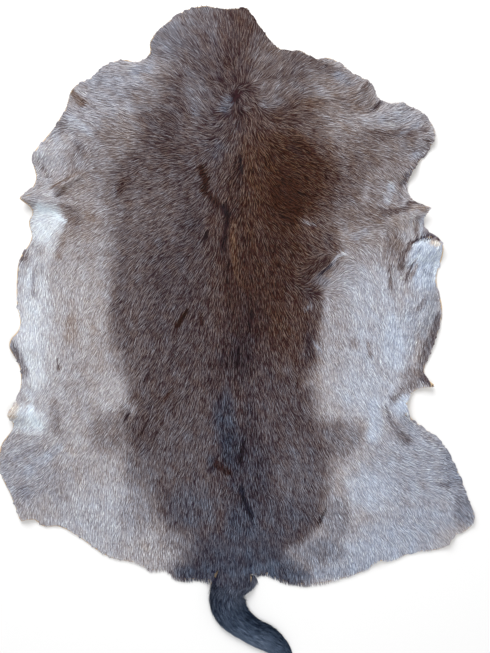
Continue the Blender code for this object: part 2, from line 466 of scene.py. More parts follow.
# Patches on the coat. Columns: across, along, half width and half length in mm, its turn in
# degrees, how soft its edge is, then lightness, warmth and how fully it covers.
PATCHES = {
    "outer left back": (-180, 80, 34, 160, 0, 1.2, 0.38, 0.56, 0.8),
    "middle of the left back": (-118, 70, 52, 120, 0, 1.2, 0.28, 0.56, 0.7),
    "pale left back": (-120, 200, 20, 34, 0, 1.0, 0.40, 0.54, 0.7),
    "left shoulder blade": (-165, 262, 55, 75, 15, 1.0, 0.38, 0.60, 0.7),
    "under the left shoulder blade": (-190, 225, 30, 30, 0, 1.0, 0.43, 0.54, 0.7),
    "left withers": (-124, 336, 26, 24, -10, 1.0, 0.26, 0.70, 0.8),
    "left of the withers": (-84, 372, 22, 50, 0, 1.0, 0.38, 0.58, 0.7),
    "over the withers": (-10, 365, 16, 36, 0, 1.0, 0.33, 0.50, 0.6),
    "pale tuft of the left withers": (-34, 336, 18, 16, 30, 1.2, 0.36, 0.20, 0.7),
    "left of the spine": (-45, 60, 40, 170, 0, 1.0, 0.27, 0.64, 0.7),
    "dark left of the spine": (-87, 200, 24, 26, 0, 1.0, 0.25, 0.54, 0.7),
    "pale left of the spine": (-48, 200, 14, 18, 0, 1.0, 0.34, 0.72, 0.6),
    "right of the back": (60, 160, 90, 230, 0, 1.2, 0.20, 1.10, 0.9),
    "right shoulder blade": (100, 300, 80, 80, 0, 1.0, 0.17, 1.22, 0.9),
    "right withers": (70, 398, 60, 26, 0, 1.0, 0.27, 0.84, 0.8),
    "right of the withers": (140, 388, 32, 28, 0, 1.0, 0.37, 0.68, 0.8),
    "under the right withers": (156, 348, 22, 20, 0, 1.0, 0.36, 0.72, 0.7),
    "darkest of the right back": (92, 245, 38, 56, 0, 1.0, 0.12, 1.30, 0.8),
    "lower right back": (45, 110, 60, 90, 0, 1.0, 0.17, 1.02, 0.8),
    "outer right back": (118, 62, 28, 60, 0, 1.0, 0.24, 0.84, 0.7),
    "edge of the right back": (148, 54, 14, 26, 0, 1.0, 0.32, 0.62, 0.8),
    "pale right back": (150, 196, 34, 22, 0, 1.0, 0.33, 0.80, 0.7),
    "edge of the right shoulder blade": (214, 283, 20, 45, 0, 1.0, 0.34, 0.72, 0.7),
    "middle of the back": (15, 22, 36, 50, 0, 1.0, 0.16, 0.80, 0.8),
    "loin": (10, -60, 60, 70, 0, 1.0, 0.22, 0.60, 0.7),
    "dark loin": (6, -45, 24, 40, 0, 1.0, 0.15, 0.58, 0.8),
    "slaty loin": (-24, -164, 22, 54, 0, 1.0, 0.23, 0.12, 0.85),
    "right loin": (75, -150, 55, 90, 0, 1.2, 0.32, 0.46, 0.7),
    "left of the rump": (-95, -215, 60, 60, 0, 1.0, 0.38, 0.42, 0.7),
    "outer left of the rump": (-172, -262, 34, 54, 0, 1.0, 0.42, 0.38, 0.7),
    "slaty rump": (-8, -215, 22, 40, 0, 1.0, 0.19, 0.12, 0.85),
    "rump": (20, -270, 44, 80, 0, 1.0, 0.22, 0.20, 0.7),
    "right of the loin's line": (24, -166, 16, 56, 0, 1.0, 0.21, 0.46, 0.7),
    "left of the rump's line": (-44, -240, 12, 18, 0, 1.0, 0.22, 0.30, 0.7),
    "slaty left of the rump": (-82, -322, 50, 44, 0, 1.0, 0.35, 0.22, 0.9),
    "slaty right of the rump": (12, -352, 34, 34, 0, 1.0, 0.28, 0.00, 0.8),
    "right of the rump": (116, -268, 44, 64, 0, 1.0, 0.40, 0.30, 0.7),
    "lower right of the rump": (80, -340, 60, 36, 0, 1.0, 0.32, 0.22, 0.8),
    "pale left of the tail": (-108, -384, 34, 20, 0, 1.0, 0.50, 0.38, 0.8),
    "end of the back": (6, -394, 90, 32, 0, 1.0, 0.33, 0.08, 0.8),
    "above the tail": (8, -446, 116, 44, 0, 1.0, 0.31, 0.02, 0.9),
    "pale above the tail": (48, -432, 46, 9, 12, 1.2, 0.41, -0.10, 0.8),
    "pale right of the tail": (108, -402, 20, 14, 0, 1.0, 0.52, 0.30, 0.8),
    "nape": (-5, 520, 30, 100, 5, 1.0, 0.28, 0.72, 0.8),
    "left of the nape": (-75, 545, 44, 60, -25, 1.0, 0.38, 0.48, 0.8),
    "left of the neck": (-128, 542, 34, 42, -30, 1.0, 0.44, 0.28, 0.8),
    "fold left of the neck": (-160, 520, 18, 15, 0, 1.0, 0.47, 0.34, 0.8),
    "left neck corner": (-75, 588, 30, 18, 15, 1.0, 0.43, 0.42, 0.7),
    "right neck corner": (20, 575, 26, 30, 0, 1.0, 0.28, 0.80, 0.7),
    "right of the nape": (60, 510, 40, 44, 0, 1.0, 0.43, 0.60, 0.8),
    "right of the neck": (130, 495, 44, 20, -20, 1.0, 0.38, 0.58, 0.8),
    "pale right nape": (76, 446, 38, 18, 10, 1.0, 0.46, 0.52, 0.8),
    "pale beside the whorl": (62, 424, 18, 14, 0, 1.0, 0.47, 0.40, 0.8),
    "pale over the whorl": (38, 464, 14, 12, 0, 1.0, 0.45, 0.60, 0.8),
    "under the right nape": (134, 421, 30, 13, 0, 1.0, 0.31, 0.92, 0.8),
    "pale left nape": (-76, 440, 22, 44, 12, 1.0, 0.44, 0.36, 0.8),
    "tuft at the whorl": (-20, 420, 9, 18, -8, 1.0, 0.45, 0.12, 0.8),
    "left scruff": (-158, 400, 24, 26, 0, 1.0, 0.31, 0.60, 0.7),
    "left collar": (-225, 455, 70, 34, -20, 1.0, 0.59, 0.24, 0.9),
    "dim left collar": (-178, 434, 30, 18, 0, 1.0, 0.46, 0.54, 0.7),
    "pale left collar": (-176, 486, 22, 10, 12, 1.0, 0.58, 0.06, 0.7),
    "left shoulder": (-262, 405, 50, 44, 0, 1.0, 0.57, 0.32, 0.7),
    "brown of the left shoulder": (-216, 366, 42, 32, 0, 1.0, 0.48, 0.62, 0.7),
    "left shoulder's edge": (-326, 386, 18, 30, -35, 1.0, 0.55, 0.34, 0.7),
    "left foreleg": (-345, 330, 34, 36, 0, 1.0, 0.72, 0.28, 0.8),
    "left upper foreleg": (-276, 318, 40, 40, 0, 1.0, 0.53, 0.46, 0.8),
    "left elbow": (-300, 272, 36, 22, 15, 1.0, 0.56, 0.62, 0.7),
    "left chest": (-292, 200, 42, 44, 0, 1.0, 0.52, 0.66, 0.8),
    "behind the left armpit": (-300, 212, 12, 20, 0, 0.9, 0.42, 0.62, 0.8),
    "left ribs": (-300, 80, 54, 100, 0, 1.0, 0.68, 0.45, 0.7),
    "upper left ribs": (-276, 146, 24, 20, 0, 1.0, 0.60, 0.50, 0.8),
    "left belly": (-378, 10, 38, 130, 0, 1.0, 0.80, 0.16, 0.9),
    "inner left belly": (-340, -100, 22, 90, 0, 1.0, 0.72, 0.34, 0.7),
    "tuft at the left belly's edge": (-398, 142, 10, 14, 25, 1.3, 0.42, 0.50, 0.85),
    "left flank": (-262, -20, 26, 110, 0, 1.0, 0.65, 0.54, 0.6),
    "brown of the left flank": (-306, 8, 13, 32, -8, 1.0, 0.58, 0.70, 0.7),
    "left stifle": (-236, -112, 32, 30, 15, 1.0, 0.71, 0.40, 0.8),
    "pale left hip": (-200, -146, 16, 20, 0, 1.0, 0.48, 0.50, 0.7),
    "before the left thigh": (-338, -152, 8, 30, 5, 1.2, 0.60, 0.46, 0.7),
    "left thigh": (-292, -195, 30, 46, 0, 1.0, 0.70, 0.42, 0.7),
    "brown of the left hip": (-238, -184, 32, 34, 0, 1.2, 0.47, 0.52, 0.8),
    "left hind leg": (-395, -258, 50, 58, 0, 1.0, 0.65, 0.20, 0.8),
    "dim left hind leg": (-334, -280, 22, 44, 15, 1.0, 0.61, 0.32, 0.7),
    "left heel": (-392, -294, 18, 14, 0, 1.0, 0.55, 0.26, 0.7),
    "left buttock": (-254, -345, 84, 60, 25, 1.0, 0.715, 0.20, 0.9),
    "left rump": (-186, -335, 30, 36, 0, 1.0, 0.54, 0.32, 0.7),
    "right collar": (200, 448, 56, 30, -30, 1.0, 0.46, 0.64, 0.8),
    "edge of the right collar": (158, 492, 40, 9, -22, 1.0, 0.36, 0.60, 0.8),
    "dim right collar": (210, 420, 50, 18, 0, 1.0, 0.44, 0.62, 0.8),
    "right shoulder": (190, 385, 30, 34, 0, 1.0, 0.49, 0.60, 0.8),
    "pale right shoulder": (302, 400, 36, 13, -5, 1.0, 0.63, 0.24, 0.8),
    "pale inner right shoulder": (262, 392, 16, 10, 0, 1.0, 0.60, 0.32, 0.7),
    "right foreleg": (330, 345, 30, 34, 0, 1.0, 0.52, 0.44, 0.8),
    "outer right shoulder": (358, 398, 16, 12, 0, 1.0, 0.54, 0.32, 0.8),
    "over the right foreleg": (282, 362, 44, 12, 0, 1.2, 0.39, 0.60, 0.7),
    "right upper foreleg": (236, 328, 46, 50, 0, 1.0, 0.375, 0.68, 0.8),
    "outer right upper foreleg": (296, 316, 30, 44, 0, 1.0, 0.48, 0.56, 0.8),
    "right elbow": (268, 262, 30, 24, 0, 1.0, 0.49, 0.54, 0.8),
    "right chest": (240, 218, 60, 24, 0, 1.0, 0.41, 0.66, 0.8),
    "pale under the right elbow": (302, 204, 24, 14, 0, 1.0, 0.66, 0.60, 0.8),
    "under the right elbow": (330, 226, 18, 9, 10, 1.0, 0.60, 0.70, 0.9),
    "right ribs": (212, 206, 34, 20, 0, 1.0, 0.45, 0.62, 0.8),
    "lower right ribs": (228, 150, 52, 44, 0, 1.0, 0.54, 0.62, 0.9),
    "dark of the right ribs": (172, 148, 22, 34, 0, 1.0, 0.29, 0.74, 0.8),
    "right armpit": (288, 160, 18, 36, 0, 1.0, 0.45, 0.62, 0.8),
    "flap": (348, 136, 32, 38, -8, 0.7, 0.81, -0.26, 1.0),
    "middle of the flap": (344, 92, 24, 24, 0, 1.0, 0.76, -0.20, 0.9),
    "bottom of the flap": (346, 44, 26, 34, 0, 1.0, 0.72, 0.05, 0.9),
    "right flank": (240, 10, 68, 130, 0, 1.0, 0.71, 0.10, 0.9),
    "inner right flank": (188, 20, 24, 84, 0, 1.0, 0.63, 0.38, 0.8),
    "pale right flank": (292, -20, 20, 56, 5, 1.0, 0.76, -0.14, 0.9),
    "slaty right belly": (318, 8, 12, 50, 0, 1.0, 0.70, -0.04, 0.7),
    "dim right flank": (214, -22, 12, 12, 0, 1.0, 0.58, 0.42, 0.6),
    "right stifle": (236, -112, 50, 38, 0, 1.0, 0.73, 0.04, 0.9),
    "under the right flank": (324, -80, 18, 20, 0, 1.0, 0.52, 0.42, 0.8),
    "right groin": (302, -130, 18, 26, 10, 1.5, 0.82, -0.35, 0.9),
    "right hip": (192, -192, 38, 30, 0, 1.2, 0.46, 0.38, 0.8),
    "right hind leg": (335, -262, 100, 88, 0, 1.0, 0.67, 0.06, 0.9),
    "lower right hind leg": (320, -352, 104, 24, 10, 1.0, 0.67, 0.02, 0.9),
    "edge of the right hind leg": (404, -248, 24, 50, 15, 1.0, 0.55, 0.08, 0.8),
    "right thigh": (246, -290, 40, 40, 0, 1.0, 0.74, -0.10, 0.8),
    "right heel": (420, -325, 20, 28, 15, 1.0, 0.50, 0.10, 0.8),
    "right rump": (184, -345, 26, 40, 0, 1.0, 0.53, 0.20, 0.8),
    "right buttock": (270, -400, 96, 32, 10, 1.0, 0.70, -0.08, 0.9),
    "inner right buttock": (156, -402, 38, 26, 0, 1.0, 0.50, 0.16, 0.9),
}

# Lines on the coat: nicks where the dark roots show, pale locks, and painted shade: dark lines
# that stand for the shade in folds and hollows and on edges that curl down. Columns: half width
# in mm at its start and its end, how soft its edge is, lightness, warmth and how fully it
# covers, then the places it runs through.
LINES = {
    "spine": (11, 9, 1.5, 0.16, 0.90, 0.7, (2, 312), (-4, 240), (-22, 160), (-12, 60)),
    "spine's dark strands": (4, 4, 1.6, 0.06, 0.80, 0.8, (-17, 214), (-22, 186), (-28, 152)),
    "pale brown by the withers": (8, 6, 1.2, 0.23, 1.05, 0.7, (18, 345), (16, 270), (24, 240)),
    "pale brown of the spine": (7, 5, 1.2, 0.27, 1.15, 0.7, (-6, 200), (-8, 160), (0, 110)),
    "parting at the whorl": (3, 4, 1.0, 0.16, 0.70, 0.8, (-2, 437), (6, 410), (2, 380)),
    "parting of the nape": (2, 4, 1.0, 0.18, 0.70, 0.7, (-6, 560), (-14, 520), (-30, 480), (-22, 440)),
    "parting right of the nape": (4, 3, 1.0, 0.20, 0.85, 0.7, (24, 548), (2, 528), (-6, 490)),
    "seam of the right nape": (2, 3, 1.2, 0.28, 0.70, 0.6, (88, 516), (118, 478), (134, 450)),
    "left shoulder nick": (5, 7, 1.5, 0.20, 0.85, 0.7, (-198, 288), (-212, 276), (-215, 260)),
    "long nick by the spine": (7, 7, 1.2, 0.08, 1.20, 0.95, (-66, 304), (-57, 286), (-60, 264)),
    "nick over the spine": (6, 8, 1.3, 0.11, 1.00, 0.9, (-54, 258), (-36, 242), (-20, 228)),
    "dark of that nick": (4, 5, 1.4, 0.03, 0.60, 0.9, (-26, 236), (-18, 218)),
    "dark slit of the spine": (2.5, 3, 1.5, 0.02, 0.80, 0.95, (5, 326), (9, 296)),
    "dark tuft by the spine": (3, 4, 1.6, 0.05, 0.80, 0.95, (-55, 187), (-60, 172)),
    "left loin nick": (3, 5, 1.5, 0.04, 1.30, 0.95, (-91, 43), (-101, 28), (-110, 14)),
    "small loin nick": (2.5, 3.5, 1.7, 0.08, 1.10, 0.85, (-66, 42), (-65, 16)),
    "left rump nick": (2.5, 3.5, 1.7, 0.10, 1.10, 0.8, (-120, -104), (-132, -120)),
    "outer left rump nick": (2, 3, 1.6, 0.10, 0.70, 0.75, (-162, -72), (-171, -90)),
    "left hip nick": (2, 3.5, 1.6, 0.12, 0.80, 0.75, (-166, -166), (-181, -190)),
    "inner left hip nick": (2, 3.5, 1.6, 0.16, 0.70, 0.6, (-138, -166), (-154, -194)),
    "outer left hip nick": (2, 2.5, 1.6, 0.14, 0.50, 0.9, (-198, -146), (-206, -160)),
    "rump nick": (5, 6, 1.4, 0.09, 1.00, 0.9, (-40, -242), (-16, -256)),
    "upper rump line": (3, 4, 1.6, 0.06, 0.45, 0.85, (13, -202), (6, -238)),
    "lower rump line": (3, 5, 1.6, 0.06, 0.10, 0.85, (7, -282), (14, -310), (28, -340)),
    "loin line": (2.5, 3, 1.5, 0.05, 0.60, 0.8, (3, -28), (0, -56)),
    "line left of the loin": (3, 3, 0.9, 0.13, 0.60, 0.8, (-26, -38), (-29, -58)),
    "line right of the back": (3, 4, 1.6, 0.05, 0.80, 0.75, (27, 38), (24, 12)),
    # A painted shadow: the sharp dark line in a crease of the rump, where dark and pale hair meet.
    "shadow in the right rump crease": (2, 2.5, 1.5, 0.03, 0.70, 1.0, (163, -325), (150, -350)),
    "nick right of the rump": (3, 3, 1.6, 0.10, 0.90, 0.7, (113, -82), (111, -104)),
    "right back nick": (8, 9, 1.3, 0.22, 0.55, 0.85, (133, -6), (134, -38)),
    "lock at the right back nick": (3, 2, 0.9, 0.60, 0.15, 0.8, (142, -18), (156, -34)),
    "dark edge of the right back": (7, 9, 0.9, 0.20, 0.85, 0.8, (166, 132), (132, 112), (122, 104)),
    "lock of the right back": (3, 2, 0.8, 0.72, 0.15, 0.9, (200, 148), (184, 140), (176, 126)),
    "shade beside that lock": (2, 3, 0.8, 0.22, 0.30, 0.9, (178, 130), (166, 118), (150, 106)),
    "tuft of the right ribs": (10, 9, 1.2, 0.44, 0.35, 0.8, (146, 98), (162, 94)),
    "curl of the right ribs": (9, 7, 1.0, 0.28, 0.55, 0.8, (132, 76), (138, 62)),
    "lock under the curl": (2, 2, 0.9, 0.50, 0.25, 0.7, (124, 42), (138, 52)),
    "tuft of the right back": (3, 2, 0.9, 0.48, 0.35, 0.8, (124, 206), (142, 199)),
    "nick of the right withers": (6, 4, 1.0, 0.13, 1.00, 0.8, (98, 345), (116, 328)),
    "locks of the left shoulder": (7, 8, 0.9, 0.74, 0.10, 0.8, (-306, 396), (-288, 382), (-272, 372)),
    "tuft at the left shoulder's edge": (4, 8, 1.2, 0.36, 0.85, 0.9, (-308, 450), (-298, 436), (-287, 425)),
    "dark of the left upper foreleg": (6, 6, 1.2, 0.42, 0.45, 0.7, (-296, 352), (-288, 330)),
    "rusty hairs of the left elbow": (1.5, 2.5, 1.0, 0.44, 0.85, 0.7, (-288, 296), (-342, 267)),
    "shade by those hairs": (3, 3, 1.1, 0.36, 0.65, 0.7, (-318, 262), (-330, 250)),
    # A painted shadow: a dark line where the left foreleg folds.
    "shadow line of the left foreleg's fold": (2, 2, 1.0, 0.40, 0.55, 0.7, (-367, 315), (-357, 304), (-345, 288)),
    "pale left elbow": (9, 6, 1.0, 0.76, 0.24, 0.8, (-354, 264), (-342, 256)),
    # A painted shadow: a dark line along the fold over the left armpit.
    "shadow over the left armpit's fold": (2, 5, 1.0, 0.42, 0.60, 0.8, (-352, 239), (-326, 235), (-304, 228)),
    "left armpit": (30, 26, 0.7, 0.90, 0.02, 1.0, (-352, 210), (-356, 190)),
    "pale top of the left armpit": (6, 4, 0.8, 0.97, -0.20, 1.0, (-364, 230), (-345, 224), (-318, 206)),
    "inner left armpit": (5, 10, 0.9, 0.80, 0.24, 0.8, (-322, 198), (-338, 174), (-350, 140)),
    "brown under the left armpit": (4, 6, 1.4, 0.52, 0.75, 0.7, (-316, 184), (-328, 140)),
    "edge of the left belly": (5, 6, 0.9, 0.84, 0.05, 0.9, (-381, 118), (-383, 84)),
    "shade of the left belly": (3, 4, 1.0, 0.58, 0.25, 0.7, (-374, 112), (-376, 70)),
    "pale left belly": (12, 14, 1.0, 0.86, 0.06, 0.8, (-374, 50), (-382, 4), (-374, -40), (-366, -90)),
    "lock of the left ribs": (2, 2, 0.9, 0.74, 0.35, 0.8, (-262, 166), (-246, 164)),
    # Painted shade, darker along the left belly's edge where it curls down.
    "shade on the lower edge of the left belly": (6, 9, 1.5, 0.50, 0.36, 0.85, (-412, -22), (-405, -42), (-394, -74)),
    "left belly nick": (1.5, 2.5, 1.0, 0.36, 0.55, 0.8, (-331, -48), (-329, -66)),
    "lock by that nick": (2, 2, 0.8, 0.80, 0.30, 0.8, (-352, -34), (-334, -46)),
    "left groin": (24, 22, 1.0, 0.86, 0.04, 1.0, (-408, -156), (-372, -166)),
    "palest of the left groin": (5, 9, 1.2, 0.98, -0.30, 0.9, (-381, -136), (-376, -150), (-370, -166)),
    "skin of the left groin": (8, 9, 1.1, 0.80, 0.90, 0.8, (-408, -136), (-414, -152)),
    "over the left groin": (5, 6, 1.1, 0.80, 0.04, 0.7, (-386, -106), (-380, -122)),
    "shade by the left groin": (6, 8, 1.6, 0.52, 0.44, 0.55, (-334, -126), (-330, -178)),
    "pale left hind leg": (4, 5, 1.2, 0.72, 0.16, 0.7, (-366, -196), (-420, -222)),
    "shade of the left hind leg": (2, 3, 1.2, 0.55, 0.22, 0.6, (-372, -214), (-430, -240)),
    "locks of the left hind leg": (8, 10, 1.0, 0.68, 0.08, 0.8, (-330, -212), (-384, -254)),
    "locks of the right shoulder": (2, 2, 0.9, 0.70, 0.35, 0.8, (276, 418), (264, 402)),
    "shade of the right shoulder": (4, 4, 0.9, 0.32, 0.50, 0.8, (264, 424), (250, 412)),
    "locks at the right foreleg": (2, 2, 0.9, 0.74, 0.10, 0.7, (306, 418), (294, 400)),
    "nick at the right collar": (4, 4, 1.1, 0.36, 0.60, 0.8, (238, 458), (232, 446)),
    "tuft of the right collar": (10, 8, 1.0, 0.56, 0.22, 0.8, (184, 472), (212, 462)),
    # Painted shade in the hollow below the right shoulder's ridge.
    "shade in the hollow of the right shoulder": (5, 7, 1.4, 0.36, 0.62, 0.8, (244, 371), (272, 366), (304, 371)),
    "pale fold of the right foreleg": (4, 6, 1.2, 0.56, 0.15, 0.6, (300, 366), (318, 374), (334, 386)),
    "brown of the right foreleg": (7, 8, 1.3, 0.42, 0.60, 0.7, (316, 364), (346, 372)),
    "edge of the right foreleg": (2, 2, 1.0, 0.34, 0.60, 0.8, (353, 361), (349, 351)),
    "pale right foreleg": (6, 6, 1.2, 0.62, 0.10, 0.7, (334, 331), (322, 322)),
    "dark edge of the right foreleg": (3, 4, 1.1, 0.34, 0.40, 0.8, (343, 326), (314, 290), (306, 276)),
    "pale right elbow": (6, 7, 1.0, 0.72, 0.10, 0.8, (284, 274), (277, 244)),
    "shade of the right elbow": (3, 5, 1.3, 0.40, 0.55, 0.6, (304, 276), (300, 244)),
    # A painted shadow: a dark line under the fold of the right elbow.
    "shade at the edge of the right elbow": (3, 3, 0.8, 0.24, 0.65, 0.9, (312, 240), (334, 240), (353, 233)),
    # Painted shade in the hollow of the right chest.
    "shade in the hollow of the right chest": (4, 7, 1.0, 0.35, 0.62, 0.8, (318, 234), (296, 224), (272, 221)),
    "line under the right elbow": (3, 2, 0.9, 0.74, 0.20, 0.8, (331, 223), (318, 219), (325, 177)),
    "dark line under the right elbow": (2, 3, 0.9, 0.40, 0.55, 0.7, (331, 214), (330, 192), (333, 178)),
    "rim under the right elbow": (3, 3, 0.9, 0.80, -0.10, 0.8, (345, 212), (340, 194), (342, 180)),
    "shade over the flap": (8, 5, 1.0, 0.50, 0.30, 0.8, (350, 182), (366, 176)),
    "pale right ribs": (8, 8, 1.1, 0.62, 0.25, 0.7, (216, 176), (236, 188)),
    # A painted shadow: the dark line where the fold above casts shade on the flap's top.
    "shadow over the flap's fold": (3, 4, 0.7, 0.26, 0.50, 1.0, (318, 165), (334, 173), (352, 176), (370, 172)),
    # A painted shadow where the flap lies over the hide, with some dark hair in it.
    "shadow by the inner edge of the flap": (5, 6, 1.1, 0.34, 0.62, 0.8, (322, 164), (311, 152), (303, 136), (302, 120)),
    "shade of the flap": (3, 3, 1.0, 0.56, -0.05, 0.7, (340, 156), (324, 142)),
    "flap nick": (1.5, 2.5, 1.0, 0.30, 0.50, 0.9, (322, 124), (314, 108), (311, 96)),
    "upper flap nick": (1.5, 1.5, 1.0, 0.40, 0.40, 0.8, (330, 136), (322, 126)),
    "brown beside the flap nick": (4, 4, 1.0, 0.52, 0.60, 0.7, (330, 124), (320, 104)),
    "skin at the flap's tip": (6, 5, 0.9, 0.86, 0.95, 0.8, (356, 167), (368, 164)),
    "upper locks of the flap": (4, 4, 0.9, 0.88, -0.30, 0.8, (326, 160), (340, 168), (352, 168)),
    "lower locks of the flap": (5, 5, 0.9, 0.92, -0.30, 0.8, (374, 150), (366, 118), (362, 92)),
    "dark locks of the flap": (2, 2, 0.9, 0.50, 0.00, 0.7, (344, 116), (358, 105)),
    "shade low on the flap": (5, 5, 1.0, 0.48, 0.40, 0.7, (344, 62), (332, 44)),
    # Painted shade where the hide's edge below the flap curls down.
    "shade on the lower edge of the flap": (6, 8, 1.4, 0.40, 0.42, 0.9, (370, 30), (364, 4), (358, -18)),
    "pale right flank's edge": (7, 7, 1.0, 0.64, 0.15, 0.7, (345, 24), (342, -8)),
    # Painted shade where the edge of the right flank curls down.
    "edge of the right flank": (9, 10, 1.5, 0.42, 0.48, 0.9, (352, -18), (346, -50), (344, -82)),
    "spike of the right flank": (5, 4, 0.9, 0.34, 0.40, 0.9, (340, -84), (366, -100)),
    "shade over the right groin": (7, 8, 1.3, 0.50, 0.46, 0.8, (332, -92), (304, -106), (288, -122)),
    # Painted shade: a dark line in the valley of the fold on the right ribs.
    "shade in the fold of the right ribs": (3, 3, 0.9, 0.42, 0.50, 0.8, (281, 126), (283, 84)),
    "right flank nick": (3, 4, 1.2, 0.48, 0.52, 0.8, (242, -20), (246, -42)),
    "lock of the right flank": (1.2, 1.2, 1.0, 0.95, -0.10, 0.8, (262, -47), (268, -61)),
    # Painted shade: a dark line in the valley of the fold at the right groin.
    "shade in the fold of the right groin": (2, 9, 1.4, 0.46, 0.36, 0.8, (275, -138), (282, -162), (314, -200)),
    "pale before the right groin": (10, 13, 1.3, 0.78, -0.22, 0.8, (252, -134), (258, -166), (252, -190)),
    "under the right groin": (7, 9, 1.3, 0.66, 0.05, 0.7, (306, -158), (332, -190)),
    "pale right hind leg": (10, 8, 1.0, 0.69, 0.08, 0.8, (334, -204), (374, -222)),
    "nick of the right hind leg": (3, 4, 0.9, 0.44, 0.15, 0.8, (376, -282), (390, -280)),
    "left fringe by the tail": (9, 9, 1.4, 0.32, 0.00, 0.8, (-104, -442), (-50, -442)),
    "right fringe by the tail": (6, 9, 1.4, 0.40, -0.08, 0.7, (66, -438), (96, -448), (128, -448)),
    "fringe of the right buttock": (11, 11, 1.4, 0.64, -0.05, 0.9, (150, -444), (200, -440), (236, -430)),
}

SWAY_WAVES = 9
SWAY_LENGTHS = (0.7, 1.6)      # the shortest and the longest wave, as a share of the size
LINE_ROOM = 40                 # mm: a line further along than this from all places is skipped


def sway(x, y, size, seed):
    """A smooth, seeded unevenness from about -1 to 1, with waves of about the given size."""
    chance = np.random.default_rng(seed)
    total = np.zeros_like(x)
    for _ in range(SWAY_WAVES):
        turn, start = chance.uniform(0, 2 * pi, 2)
        length = size * chance.uniform(*SWAY_LENGTHS)
        total += np.sin((x * cos(turn) + y * sin(turn)) * 2 * pi / length + start)
    return total / SWAY_WAVES ** 0.5


def patch_share(x, y, across, along, half_width, half_length, turn, softness):
    """How fully a patch covers places, from 0 to 1."""
    tilt = radians(turn)
    beside, ahead = x - across, y - along
    sideways = (beside * cos(tilt) + ahead * sin(tilt)) / half_width
    lengthways = (ahead * cos(tilt) - beside * sin(tilt)) / half_length
    return ease(0.5 + (1 - np.hypot(sideways, lengthways)) / softness)


def coat_tone(x, y):
    """The coat's lightness and warmth at places on the hide."""
    x, y = x / MM, y / MM
    rows = np.array(sorted(DARK_BACK), float)
    left, right, left_blend, right_blend = (
        np.interp(y, rows[:, 0], rows[:, part]) for part in (1, 2, 3, 4)
    )
    ragged = x + BACK_RAGGED * sway(x, y, RAGGED_SIZE, 12)
    inside = ease((ragged - left) / left_blend / 2 + 0.5)
    inside = inside * ease((right - ragged) / right_blend / 2 + 0.5)
    light = SIDE_TONE[0] + (BACK_TONE[0] - SIDE_TONE[0]) * inside
    warm = SIDE_TONE[1] + (BACK_TONE[1] - SIDE_TONE[1]) * inside
    marks = []
    for *form, lightness, warmth, cover in PATCHES.values():
        marks.append((patch_share(x, y, *form), lightness, warmth, cover))
    for start_half, end_half, softness, lightness, warmth, cover, *ends in LINES.values():
        levels = [level for _, level in ends]
        if min(levels) - LINE_ROOM < y.max() and max(levels) + LINE_ROOM > y.min():
            share = line_share(x, y, start_half, end_half, softness, ends)
            marks.append((share, lightness, warmth, cover))
    for share, lightness, warmth, cover in marks:
        light = light + (lightness - light) * share * cover
        warm = warm + (warmth - warm) * share * cover
    return light, warm


# Hair from darkest to palest, as it is seen: the slatiest hair of the flap and tail, and the
# brownest of the back, with the warmth that each stands for.
SLATY, BROWN = -0.3, 1.3
SLATY_HAIR = (
    (0.00, (0.00, 0.01, 0.03)), (0.25, (0.09, 0.153, 0.235)), (0.50, (0.39, 0.455, 0.545)),
    (0.75, (0.68, 0.723, 0.81)), (1.00, (0.94, 0.98, 1.00)),
)
BROWN_HAIR = (
    (0.00, (0.03, 0.00, 0.00)), (0.25, (0.265, 0.126, 0.02)), (0.50, (0.545, 0.42, 0.29)),
    (0.75, (0.78, 0.693, 0.60)), (1.00, (0.99, 0.95, 0.88)),
)


def hair_stops(named):
    return [(place, seen(*colour)) for place, colour in named]


def hair_colour(finish, lightness, brownness):
    """The hair's colour. brownness goes from 0, the slatiest, to 1, the brownest."""
    slaty = finish.node("ShaderNodeValToRGB", {"stops": hair_stops(SLATY_HAIR)}, {0: lightness})
    brown = finish.node("ShaderNodeValToRGB", {"stops": hair_stops(BROWN_HAIR)}, {0: lightness})
    return finish.mix(brownness, slaty, brown)


def brown_share(warmth):
    return (warmth - SLATY) / (BROWN - SLATY)


def wool_low(x, y):
    return skin_high(x, y) + OFF_THE_SKIN


def wool_high(x, y):
    return np.maximum(coat_top.at(x, y) - UNDER_LONG_HAIR, wool_low(x, y) + LEAST_WOOL)


def tint(piece, darker):
    """Writes the coat's lightness and warmth on a piece's points."""
    places = np.empty(len(piece.data.vertices) * 3)
    piece.data.vertices.foreach_get("co", places)
    places = places.reshape(-1, 3)
    light, warm = coat_tone(places[:, 0], places[:, 1])
    blank = np.ones_like(light)
    values = np.stack([light - darker, brown_share(warm), blank, blank], 1)
    layer = piece.data.color_attributes.new("coat", "FLOAT_COLOR", "POINT")
    layer.data.foreach_set("color", values.astype(np.float32).ravel())


WOOL_TUFTS = (260, 3)          # how many to a metre, and in how many finer layers
WOOL_TONE = 0.22

wool = Finish("undercoat", Roughness=0.9, Specular_IOR_Level=0.1)
tone = wool.node("ShaderNodeAttribute", {"attribute_name": "coat"}, {}, "Color")
parts = wool.node("ShaderNodeSeparateColor", {}, {0: tone})
brownness = Wire(wool, parts.socket.node.outputs[1])
tufts = wool.noise(*WOOL_TUFTS)
wool.shade(
    Base_Color=hair_colour(wool, parts + (tufts - 0.5) * WOOL_TONE, brownness),
    Normal=wool.bump(strength=0.6, depth=1 * MM, height=tufts),
)

undercoat = lay_sheet("undercoat", UNDERCOAT_CELL, UNDERCOAT_INSET, wool_low, wool_high)
tint(undercoat, GROUND_DARKER)
undercoat.data.materials.append(wool.material)
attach(undercoat, "root")

# The coat: coarse, slightly flattened guard hairs that lie close, each way they grew on the
# animal: forwards on the neck from a whorl at the withers, outwards on the shoulders, and
# backwards from there. They part into fine streaks as they lie. Each stretch is one mesh.

